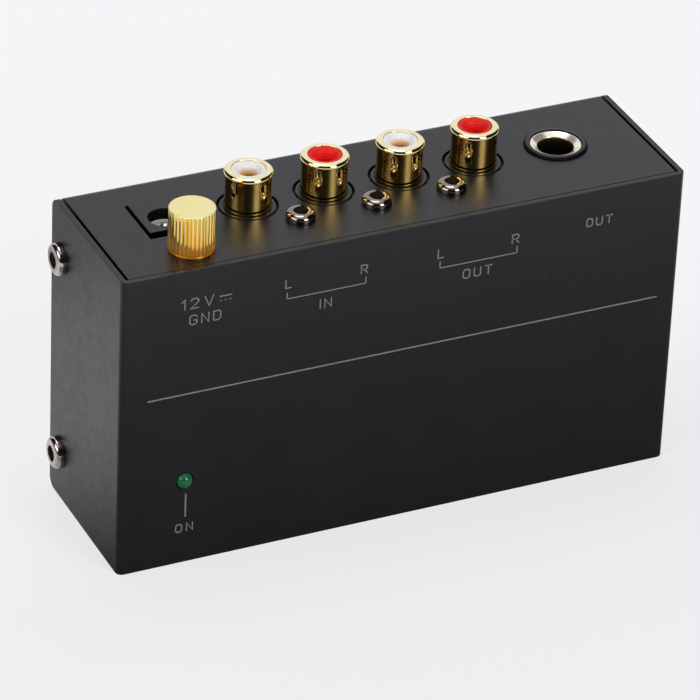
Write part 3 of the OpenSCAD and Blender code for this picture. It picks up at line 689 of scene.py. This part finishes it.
shellSet = {
    "x": [-22.5, -8.5, 5.5, 19.5],
    "y": 1.1,
    "segments": 256,
    "outline": [
        (2.97, -10.5, 0), (5.2, -10.5, 0.15), (5.2, -9.5, 0.15), (4.0, -9.5, 0), (4.0, 6.2, 0.05),
        (4.2, 6.25, 0.1), (4.2, 7.0, 0.6), (2.97, 7.0, 0.08),
    ],
    "tab": ((-1, 4, -10.5), (1, 9.6, -10)),
    "wall": 4.0,  # the wall's radius, and the heights between which it is pressed, mm
    "pressedSpan": (2.3, 6.15),
    "pressedStep": 0.1,
    # azimuths of each shell's dimples, degrees
    "dimples": [(-74, 106), (-74, 106, -130, 50), (-74, 106, -130, 50), (-130, 50)],
    "dimpleMiddle": 4.35,
    "dimpleHalf": 0.9,  # half of the pocket's straight part, mm
    "dimpleRadius": 0.57,
    "dimpleFloor": 0.6,  # share of the radius where the pocket's floor ends
    "dimpleDepth": 0.15,
    # the first shell's hole: azimuth in degrees, middle, height and width in mm
    "pierced": (-153, 4.1, 3.5, 0.9),
    "goldDark": 0.95,
    # painted highlight: the rolled rim's top is paler gold than the wall, by height above the panel
    "goldPaintedByHeight": [
        (-10, (0.96, 0.665, 0.21)), (6.0, (0.96, 0.665, 0.21)), (6.5, (0.98, 0.79, 0.36)),
        (7.0, (0.99, 0.89, 0.53)),
    ],
}


# Sizes are in mm; the stretches are along x, y and z
goldSet = {
    "patch": 2.2,
    "streak": 0.5,
    "streakStretch": (0.15, 0.15, 3.0),
    "grain": 0.3,
    "grainStretch": (0.2, 0.2, 1.2),
    "relief": 0.0008,
}


# Plated gold, drifting between a dark share of its colour and all of it; heights gives the colour
# by the height above the panel, and metal how metallic it is there: both paint shade and highlight
# by height
def makeGold(name, dark, rough, anisotropic, heights, metal=None):
    finish, tree, shader, place = startFinish(name)
    patches = addNoise(tree, place, goldSet["patch"])
    drift = addRamp(tree, patches, [(0.3, (dark,) * 3), (0.7, (1.0, 1.0, 1.0))])
    low, high = heights[0][0], heights[-1][0]
    level = addRange(
        tree, addAxis(tree, place, "Z"), 0, 1, (panelHeight + low) * mm, (panelHeight + high) * mm,
    )

    def byHeight(stops):
        return addRamp(tree, level, [((z - low) / (high - low), shade) for z, shade in stops])

    tree.links.new(addTint(tree, drift, byHeight(heights)), shader.inputs["Base Color"])
    setSockets(shader, {"Metallic": 1.0, "Anisotropic": anisotropic})
    if metal:
        shares = byHeight([(z, (share,) * 3) for z, share in metal])
        tree.links.new(shares, shader.inputs["Metallic"])
    streaks = addNoise(tree, place, goldSet["streak"], 2.0, goldSet["streakStretch"])
    tree.links.new(addRange(tree, streaks, *rough), shader.inputs["Roughness"])
    grain = addNoise(tree, place, goldSet["grain"], 2.0, goldSet["grainStretch"])
    addBump(tree, shader, grain, goldSet["relief"])
    if anisotropic:
        tangent = tree.nodes.new("ShaderNodeTangent")
        tangent.direction_type = "RADIAL"
        tangent.axis = "Z"
        tree.links.new(tangent.outputs["Tangent"], shader.inputs["Tangent"])
    return finish


def smoothStep(share):
    return share * share * (3 - 2 * share)


# A small hole's cutter, lying across the wall at the given azimuth
def piercedMesh(azimuth, middle, up, width):
    mesh = bmesh.new()
    turn = Matrix.Rotation(math.radians(azimuth), 4, "Z")
    bmesh.ops.create_cone(
        mesh, cap_ends=True, segments=32, radius1=width / 2 * mm, radius2=width / 2 * mm,
        depth=2 * mm,
        matrix=turn @ Matrix.Translation(Vector((middle, 0, up)) * mm)
        @ Matrix.Rotation(math.pi / 2, 4, "Y"),
    )
    return mesh


def buildShells(values, gold, holeShade):
    wall, (low, high) = values["wall"], values["pressedSpan"]
    outline = splitOutline(roundedOutline(values["outline"]), values["pressedStep"], low, high)
    for number, x in enumerate(values["x"]):
        def pressed(angle, across, up, dimples=values["dimples"][number]):
            if abs(across - wall) > 0.02 or not low < up < high:
                return across, up
            for dimple in dimples:
                away = (math.degrees(angle) - dimple + 180) % 360 - 180
                side = math.radians(away) * wall
                rise = max(abs(up - values["dimpleMiddle"]) - values["dimpleHalf"], 0)
                share = math.hypot(side, rise) / values["dimpleRadius"]
                if share < 1:
                    slope = min(1, (1 - share) / (1 - values["dimpleFloor"]))
                    return across - values["dimpleDepth"] * smoothStep(slope), up
            return across, up

        mesh = turnedMesh(outline, values["segments"], warp=pressed)
        addMesh(mesh, boxMesh(*values["tab"]))
        place = (x, values["y"], panelHeight)
        piece = meshToPiece("shell_%d" % (number + 1), mesh, gold, place, 40)
        if number == 0:
            cutAway(piece, meshToPiece("cutter", piercedMesh(*values["pierced"]), holeShade, place))
        fitPiece(piece, "enclosure", "gold_plate", "rca_shell_%d" % (number + 1))


# painted shade: near-black for the screws' cross recesses and the walls of the shell's pierced hole
recessPaintedShade = makeFinish(
    "recessPaintedShade", (0.009, 0.006, 0.003), (0.02, 0.013, 0.007), 0.6, (0.5, 0.6), 0.15, 0.006,
    IOR=1.15,
)
shellGold = makeGold(
    "shellGold", shellSet["goldDark"], (0.03, 0.06), 0.3, shellSet["goldPaintedByHeight"],
)
buildShells(shellSet, shellGold, recessPaintedShade)

insulatorSet = {
    "outline": [
        (0.9, -10.5, 0), (2.95, -10.5, 0), (2.95, 6.92, 0.04), (2.3, 6.86, 0.3),
        (1.72, 6.25, 0.15), (1.7, 6.0, 0), (1.93, 6.0, 0), (1.93, -9.5, 0), (0.9, -9.5, 0),
    ],
    "whiteDark": (0.74, 0.72, 0.70),
    "whiteLight": (0.84, 0.83, 0.82),
    "redDark": (0.64, 0.007, 0.004),
    "redLight": (0.76, 0.012, 0.008),
}

whitePlastic = makeFinish(
    "whiteInsulator", insulatorSet["whiteDark"], insulatorSet["whiteLight"], 3.0, (0.3, 0.4),
    0.9, 0.003, IOR=1.45,
)
redPlastic = makeFinish(
    "redInsulator", insulatorSet["redDark"], insulatorSet["redLight"], 3.0, (0.42, 0.52),
    0.9, 0.003, IOR=1.33,
)
for number, x in enumerate(shellSet["x"]):
    mesh = turnedMesh(roundedOutline(insulatorSet["outline"]))
    white = number % 2 == 0
    piece = meshToPiece(
        "insulator_%d" % (number + 1), mesh, whitePlastic if white else redPlastic,
        (x, shellSet["y"], panelHeight), 30,
    )
    slotName = "white_plastic" if white else "red_plastic"
    fitPiece(piece, "enclosure", slotName, "rca_insulator_%d" % (number + 1))

blackPlastic = makeFinish(
    "blackMoulding", (0.008, 0.008, 0.0085), (0.014, 0.014, 0.015), 2.5, (0.3, 0.42),
    0.25, 0.004, IOR=1.45,
)
fitPiece(softenedCopy(["rca_block"], blackPlastic, 0.05), "enclosure", "black_plastic", "rca_block")
print("sockets built")

# ---- screws ----

screwSet = {
    # width of the head, how far its round reaches in and down, the screw's length, the turn of the
    # recess and the screws' places, mm and degrees
    "jack": {
        "head": 5.2, "dome": (1.1, 0.95), "length": 7, "turn": -25,
        "x": (-15.95, -1.95, 12.05), "y": -6.1,
    },
    "cover": {
        "head": 5.8, "dome": (0.85, 0.9), "length": 5, "turn": 20,
        "x": 52, "y": 11.3, "z": (8.95, 47.55),
    },
    "board": {
        "head": 5.2, "dome": (1.1, 0.95), "length": 5, "turn": 0,
        "x": (-40, 40), "y": 7.9, "z": 8,
    },
    "height": 1.5,
    "domeSteps": 12,
    "thread": 2.9,
    "tip": 0.4,
    # span, slot and well of the recess as shares of the head, its depth as one of the height
    "span": 0.6,
    "slot": 0.2,
    "well": (0.1, 0.3),
    "depth": 0.7,
    "taper": (0.42, 0.7),  # the recess's span and slot at its floor, as shares of those on top
    "above": 0.4,  # how far the cutters stand out, mm
    "dark": (0.26, 0.222, 0.19),
    "light": (0.32, 0.278, 0.235),
    # painted light: the side screws' shades, lighter than the top screws' of the same plating
    "sideDark": (0.47, 0.42, 0.385),
    "sideLight": (0.57, 0.51, 0.47),
}


# One wing of a cross recess, narrower at its floor
def wingMesh(span, slot, taper, top, floor):
    mesh = boxMesh((-0.5, -0.5, 0), (0.5, 0.5, 1))
    for vert in mesh.verts:
        high = vert.co.z > 0.5 * mm
        length = span if high else span * taper[0]
        width = slot if high else slot * taper[1]
        up = top if high else floor
        vert.co = Vector((vert.co.x / mm * length, vert.co.y / mm * width, up)) * mm
    return mesh


def panScrew(size, values, finish, recessShadeFinish):
    head, height, thread = size["head"] / 2, values["height"], values["thread"] / 2
    end, tip = -size["length"], values["tip"]
    reach, drop = size["dome"]
    steps = values["domeSteps"]
    quarter = [math.pi / 2 * k / steps for k in range(steps + 1)]
    dome = [(head - reach + reach * math.sin(a), height - drop + drop * math.cos(a), 0)
            for a in quarter]
    outline = [
        (0, height, 0), *dome, (head, 0.0, 0.12), (thread, 0.0, 0), (thread, end + tip, 0),
        (thread - tip, end, 0), (0, end, 0),
    ]
    mesh = turnedMesh(roundedOutline(outline, closed=False, steps=8), closed=False)
    piece = meshToPiece("screw", mesh, finish, sharp=30)
    floor, top = height * (1 - values["depth"]), height + values["above"]
    span, slot = size["head"] * values["span"], size["head"] * values["slot"]
    for k in range(2):
        wing = wingMesh(span, slot, values["taper"], top, floor)
        wing.transform(Matrix.Rotation(math.radians(size["turn"] + 90 * k), 4, "Z"))
        cutAway(piece, meshToPiece("cutter", wing, recessShadeFinish))
    well = bmesh.new()
    inner, outer = (size["head"] * share for share in values["well"])
    bmesh.ops.create_cone(
        well, cap_ends=True, segments=32, radius1=inner * mm, radius2=outer * mm,
        depth=(top - floor) * mm, matrix=Matrix.Translation(Vector((0, 0, (top + floor) / 2)) * mm),
    )
    cutAway(piece, meshToPiece("cutter", well, recessShadeFinish))
    return piece


def placed(x, y, z, turn=Matrix.Identity(4)):
    return Matrix.Translation(Vector((x, y, z)) * mm) @ turn


def placeScrews(name, size, finish, slotName, node, places):
    model = panScrew(size, screwSet, finish, recessPaintedShade)
    mesh = bmesh.new()
    for place in places:
        part = bmesh.new()
        part.from_mesh(model.data)
        part.transform(place)
        addMesh(mesh, part)
    bpy.data.objects.remove(model)
    screws = meshToPiece(name, mesh, finish, sharp=30)
    screws.data.materials.append(recessPaintedShade)
    fitPiece(screws, "enclosure", slotName, node)


screwNickel = makeFinish(
    "screwNickel", screwSet["dark"], screwSet["light"], 1.2, (0.05, 0.1), 0.3, 0.001, Metallic=1.0,
)
# painted light: a lighter copy of the top screws' black nickel
sideNickelPaintedLight = makeFinish(
    "sideNickelPaintedLight", screwSet["sideDark"], screwSet["sideLight"], 1.2, (0.1, 0.16), 0.3, 0.001,
    Metallic=1.0,
)
nickelPlate = makeFinish(
    "nickelPlate", (0.56, 0.56, 0.55), (0.66, 0.66, 0.65), 1.5, (0.22, 0.34), 0.2, 0.002,
    Metallic=1.0,
)
# painted highlight: near-white and hardly metallic, so that the power inlet's liner and spring look
# brightly lit
nickelPaintedBright = makeFinish(
    "nickelPaintedBright", (0.9, 0.9, 0.9), (0.98, 0.98, 0.98), 0.8, (0.42, 0.55), 0.12, 0.004,
    Metallic=0.1,
)
jack, cover, board = screwSet["jack"], screwSet["cover"], screwSet["board"]
placeScrews(
    "socket_screws", jack, screwNickel, "black_nickel", "jack_screws",
    [placed(x, jack["y"], panelHeight) for x in jack["x"]],
)
placeScrews(
    "side_screws", cover, sideNickelPaintedLight, "black_nickel", "cover_screws",
    [placed(side * cover["x"], cover["y"], z, Matrix.Rotation(side * math.pi / 2, 4, "Y"))
     for side in (-1, 1) for z in cover["z"]],
)
placeScrews(
    "carrier_screws", board, nickelPlate, "nickel_plate", "board_screws",
    [placed(x, board["y"], board["z"], Matrix.Rotation(math.pi / 2, 4, "X")) for x in board["x"]],
)
print("screws placed")

# ---- phone jack ----


# Moulded black, glossy on top only: dull below the first of the two heights, mm
def topGloss(name, low, high):
    finish = makeFinish(
        name, coatSet["dark"], coatSet["light"], 2.5, coatSet["rough"], 0.3, 0.005, IOR=1.45,
    )
    tree = finish.node_tree
    place = tree.nodes.new("ShaderNodeTexCoord").outputs["Object"]
    level = addRange(tree, addAxis(tree, place, "Z"), 0.02, 0.5, low * mm, high * mm)
    tree.links.new(level, tree.nodes["Principled BSDF"].inputs["Specular IOR Level"])
    return finish


jackSet = {
    "place": (35.3, 1.1, panelHeight),
    "nose": [
        (3.2, -12, 0), (4.5, -12, 0), (4.5, 0.35, 0.18), (4.2, 0.35, 0.06), (3.2, -0.22, 0.1),
    ],
    "ring": [
        (4.55, 0, 0), (5.6, 0, 0), (5.55, 0.2, 0.1), (5.15, 0.45, 0.5), (4.75, 0.55, 0.12),
        (4.55, 0.55, 0.04),
    ],
    # painted shade down the ferrule's bore, near black, and painted highlight on its pale
    # countersink
    "nosePaintedByHeight": [
        (-1.6, (0.05, 0.04, 0.015)), (-0.6, (0.16, 0.13, 0.06)), (-0.22, (0.99, 0.9, 0.7)),
        (0.35, (1.0, 0.93, 0.76)),
    ],
    "noseMetal": [(-1.6, 0.9), (-0.3, 0.9), (-0.2, 0.7), (0.35, 0.8)],
}

noseGold = makeGold(
    "noseGold", 0.95, (0.16, 0.22), 0.0, jackSet["nosePaintedByHeight"], jackSet["noseMetal"],
)
ringBlack = topGloss("ringBlack", 57.86, 58.02)
for name, outline, finish, slotName, node in (
    ("phone_nose", jackSet["nose"], noseGold, "gold_plate", "phone_jack_ferrule"),
    ("phone_ring", jackSet["ring"], ringBlack, "black_plastic", "phone_jack_ring"),
):
    mesh = turnedMesh(roundedOutline(outline), 128)
    fitPiece(meshToPiece(name, mesh, finish, jackSet["place"], 40), "enclosure", slotName, node)
jackBody = softenedCopy(["phone_jack_body"], blackPlastic, 0.1)
fitPiece(jackBody, "enclosure", "black_plastic", "phone_jack_body")

# ---- power inlet ----

inletSet = {
    "top": 57.3,  # what lies above this is lifted a little, mm
    "lift": 0.05,
    "back": 7.8,  # and what lies behind this moves to the window's edge
    "edge": 7.93,
}

inletBlack = topGloss("inletBlack", 57.1, inletSet["top"])
inlet = softenedCopy(["dc_inlet_body"], inletBlack, 0.05, 2, coatSet["sharpBox"])
for vert in inlet.data.vertices:
    if vert.co.z > inletSet["top"] * mm:
        vert.co.z += inletSet["lift"] * mm
        if vert.co.y > inletSet["back"] * mm:
            vert.co.y = inletSet["edge"] * mm
fitPiece(inlet, "enclosure", "black_plastic", "dc_inlet_body")
print("jacks built")

# ---- ground screw ----

knobSet = {
    "place": (-36.85, -8.55),
    "low": 0.32,
    "radius": 3.99,
    "height": 7.4,
    "ridges": 34,
    "groove": 0.21,
    "flat": 0.2,  # half of a ridge's flat top, as a share of the pitch
    "softness": 0.35,  # 0 for straight slopes between ridge and groove, 1 for round ones
    "steps": 14,  # points on each ridge
    "chamfer": 0.16,
    "chamferSteps": 8,
    "sideSteps": 10,
    "rimShare": 0.97,  # reach of the flat top's outer ring
    "shank": 1.95,
    "shankLength": 10,
    "shankTip": (0.4, 0.82),  # its length in mm and its narrowing
    "washer": [(2.05, 0, 0), (3.94, 0, 0.05), (3.94, 0.3, 0.1), (2.05, 0.3, 0)],
    "goldDark": 0.96,
    # painted shade at the foot, darker amber and less metallic, and painted highlight on the paler
    # flat top
    "goldPaintedByHeight": [
        (0.3, (0.84, 0.34, 0.03)), (1.2, (0.9, 0.42, 0.06)), (2.8, (0.99, 0.67, 0.17)),
        (7.6, (0.99, 0.76, 0.24)), (7.72, (0.99, 0.87, 0.41)),
    ],
    "metalPaintedByHeight": [(0.3, 0.55), (1.2, 0.6), (3.2, 0.86), (7.6, 1.0)],
}


def knurledMesh(values):
    steps = values["steps"]
    count = steps * values["ridges"]
    radius, chamfer, height = values["radius"], values["chamfer"], values["height"]
    soft, flat = values["softness"], 2 * values["flat"]
    ways = [Vector((math.cos(2 * math.pi * k / count), math.sin(2 * math.pi * k / count), 0))
            for k in range(count)]

    def outlineAt(k):
        share = abs((k % steps) / steps - 0.5) * 2  # 0 on the ridge, 1 in the groove
        slope = max(0.0, (share - flat) / (1 - flat))
        return radius - values["groove"] * (soft * smoothStep(slope) + (1 - soft) * slope)

    def limitAt(up):
        edge = min(up, height - up)
        if edge >= chamfer:
            return radius
        bend = 1 - edge / chamfer
        return radius - chamfer * (1 - math.sqrt(max(0.0, 1 - bend * bend)))

    last, sides = values["chamferSteps"], values["sideSteps"]
    drops = [chamfer * (k / last) ** 1.5 for k in range(last + 1)]
    levels = [height - drop for drop in drops]
    levels += [height * k / sides for k in range(sides - 1, 0, -1)]
    levels += drops[::-1]
    mesh = bmesh.new()

    def ringAt(up, reach):
        return [mesh.verts.new((way * reach(k) + Vector((0, 0, up))) * mm)
                for k, way in enumerate(ways)]

    rings = [ringAt(up, lambda k: min(outlineAt(k), limitAt(up))) for up in levels]
    for upper, lower in zip(rings, rings[1:]):
        for k in range(count):
            n = (k + 1) % count
            mesh.faces.new((lower[k], lower[n], upper[n], upper[k]))
    shankRadius, shankEnd = values["shank"], -values["shankLength"]
    tipLength, tipShare = values["shankTip"]
    inner = ringAt(height, lambda k: values["rimShare"] * min(outlineAt(k), limitAt(height)))
    top = mesh.verts.new((0, 0, height * mm))
    shank = ringAt(0, lambda k: shankRadius)
    tip = ringAt(shankEnd + tipLength, lambda k: shankRadius)
    end = ringAt(shankEnd, lambda k: shankRadius * tipShare)
    foot = mesh.verts.new((0, 0, shankEnd * mm))
    for k in range(count):
        n = (k + 1) % count
        mesh.faces.new((rings[0][k], rings[0][n], inner[n], inner[k]))
        mesh.faces.new((inner[k], inner[n], top))
        mesh.faces.new((rings[-1][n], rings[-1][k], shank[k], shank[n]))
        mesh.faces.new((shank[n], shank[k], tip[k], tip[n]))
        mesh.faces.new((tip[n], tip[k], end[k], end[n]))
        mesh.faces.new((end[n], end[k], foot))
    bmesh.ops.recalc_face_normals(mesh, faces=mesh.faces)
    return mesh


knobGold = makeGold(
    "knobGold", knobSet["goldDark"], (0.09, 0.13), 0.0, knobSet["goldPaintedByHeight"],
    knobSet["metalPaintedByHeight"],
)
knobPlace = (*knobSet["place"], panelHeight + knobSet["low"])
knob = meshToPiece("ground_knob", knurledMesh(knobSet), knobGold, knobPlace, 38)
fitPiece(knob, "ground_screw", "gold_plate", "ground_thumb_screw")

washer = meshToPiece(
    "knob_washer", turnedMesh(roundedOutline(knobSet["washer"])), knobGold,
    (*knobSet["place"], panelHeight), 40,
)
fitPiece(washer, "ground_washer", "gold_plate", "ground_washer")
print("ground screw built")

# ---- indicator light ----

lightSet = {
    "place": (-40, -11.2, 16.4),
    "radius": 1.5,
    "length": 5.3,
    "flange": 1.9,
    "steps": 24,
    "dark": (0.006, 0.085, 0.035),
    "light": (0.012, 0.13, 0.055),
}


# A straight barrel on a flange, with a half-round end
def lensOutline(values):
    radius, flange, steps = values["radius"], values["flange"], values["steps"]
    middle = values["length"] - radius
    points = [Vector((0, 0)), Vector((flange, 0)), Vector((flange, 1)), Vector((radius, 1))]
    for k in range(steps + 1):
        angle = math.pi / 2 * k / steps
        points.append(Vector((radius * math.cos(angle), middle + radius * math.sin(angle))))
    points[-1].x = 0
    return points


lensGreen = makeFinish(
    "lensGreen", lightSet["dark"], lightSet["light"], 1.2, (0.04, 0.08), 0.5, 0.0,
    IOR=1.42, Coat_Weight=0.2, Coat_Roughness=0.03,
)
mesh = turnedMesh(lensOutline(lightSet), closed=False)
mesh.transform(Matrix.Rotation(math.pi / 2, 4, "X"))
lens = meshToPiece("light_lens", mesh, lensGreen, lightSet["place"], 30)
fitPiece(lens, "enclosure", "led_green", "led_lens")
print("light built")

# ---- inner parts, on their own solids ----

innerSet = {
    "boardGreen": ((0.012, 0.10, 0.045), (0.02, 0.17, 0.075)),
    "chipBlack": ((0.012, 0.012, 0.013), (0.03, 0.03, 0.032)),
    "wireGreen": ((0.03, 0.22, 0.05), (0.05, 0.30, 0.08)),
    "sleeve": ((0.012, 0.014, 0.02), (0.035, 0.04, 0.05)),
    "filmRed": ((0.34, 0.03, 0.02), (0.5, 0.06, 0.035)),
    "resistorBlue": ((0.10, 0.19, 0.30), (0.18, 0.30, 0.42)),
    "lead": (0.6, 0.6, 0.58),
    # heights above the panel in mm, with the colour or the metallic share there: painted shade
    # darkening down the contacts' bores and painted light near their mouths, with little metal so
    # that they look lit
    "contactPaintedByHeight": [
        (4.6, (0.5, 0.24, 0.07)), (5.2, (0.95, 0.56, 0.22)), (5.95, (1.0, 0.82, 0.56)),
    ],
    "contactMetal": [(4.6, 0.1), (5.95, 0.05)],
    # painted reflection: gold coloured red for the red moulding mirrored in it, a little darker
    # down the bore
    "redReflectionByHeight": [(4.6, (0.9, 0.01, 0.004)), (5.95, (0.98, 0.016, 0.008))],
    "redReflectionMetal": [(4.6, 0.1), (5.95, 0.0)],
}


# Bright leads behind the board's front face; the body's own colour in front of it
def addLeads(finish, low, high):
    tree = finish.node_tree
    shader = tree.nodes["Principled BSDF"]
    place = tree.nodes.new("ShaderNodeTexCoord").outputs["Object"]
    mask = addRange(tree, addAxis(tree, place, "Y"), 0, 1, low * mm, high * mm)
    body = shader.inputs["Base Color"].links[0].from_socket
    tree.links.new(addBlend(tree, mask, body, innerSet["lead"]), shader.inputs["Base Color"])
    tree.links.new(mask, shader.inputs["Metallic"])


# Leads are given as the two y between which the body's colour turns into theirs, mm
def innerFinish(name, shades, patch, rough, grain, relief, leads=None):
    finish = makeFinish(name, *innerSet[shades], patch, rough, grain, relief, IOR=1.48)
    if leads:
        addLeads(finish, *leads)
    return finish


contactGold = makeGold(
    "contactGold", 0.94, (0.36, 0.46), 0.0, innerSet["contactPaintedByHeight"], innerSet["contactMetal"],
)
contactRedReflection = makeGold(
    "contactRedReflection", 0.94, (0.46, 0.56), 0.0, innerSet["redReflectionByHeight"], innerSet["redReflectionMetal"],
)
solderMask = innerFinish("solderMask", "boardGreen", 2.4, (0.25, 0.35), 0.4, 0.01)
chipBlack = innerFinish("chipBlack", "chipBlack", 1.0, (0.45, 0.6), 0.15, 0.004, (5.55, 5.75))
wireGreen = innerFinish("wireSleeve", "wireGreen", 3.0, (0.35, 0.45), 0.3, 0.006, (7.9, 7.95))
sleeveBlack = innerFinish(
    "capacitorSleeve", "sleeve", 2.0, (0.22, 0.34), 0.4, 0.004, (7.88, 7.9),
)
filmRed = innerFinish("filmRed", "filmRed", 2.0, (0.3, 0.4), 0.5, 0.01, (7.88, 7.9))
resistorBlue = innerFinish(
    "resistorBlue", "resistorBlue", 1.2, (0.3, 0.4), 0.3, 0.006, (7.85, 7.9),
)
glassBlack = innerFinish("diodeBlack", "chipBlack", 0.8, (0.2, 0.3), 0.3, 0.003, (7.85, 7.9))

innerFinishes = {
    "circuit_board": solderMask,
    "op_amp": chipBlack,
    "voltage_regulator": chipBlack,
    "electrolytic_capacitors": sleeveBlack,
    "film_capacitors": filmRed,
    "resistors": resistorBlue,
    "diodes": glassBlack,
    "ground_wire": wireGreen,
    "led_spacer": blackPlastic,
    "rca_contact_1": contactGold,
    "rca_contact_2": contactRedReflection,
    "rca_contact_3": contactGold,
    "rca_contact_4": contactRedReflection,
    "phone_jack_tip_spring": nickelPlate,
    "phone_jack_ring_spring": nickelPlate,
    "dc_inlet_pin": nickelPlate,
    "dc_inlet_sleeve": nickelPaintedBright,
    "dc_inlet_spring": nickelPaintedBright,
    "ground_bush": nickelPlate,
    "ground_lug": nickelPlate,
    "ground_lug_nut": nickelPlate,
    "led_leads": nickelPlate,
    "board_standoffs": nickelPlate,
}
for node, finish in innerFinishes.items():
    for holder in cadNodes[node].material_slots:
        holder.material = finish
print("inner parts finished")
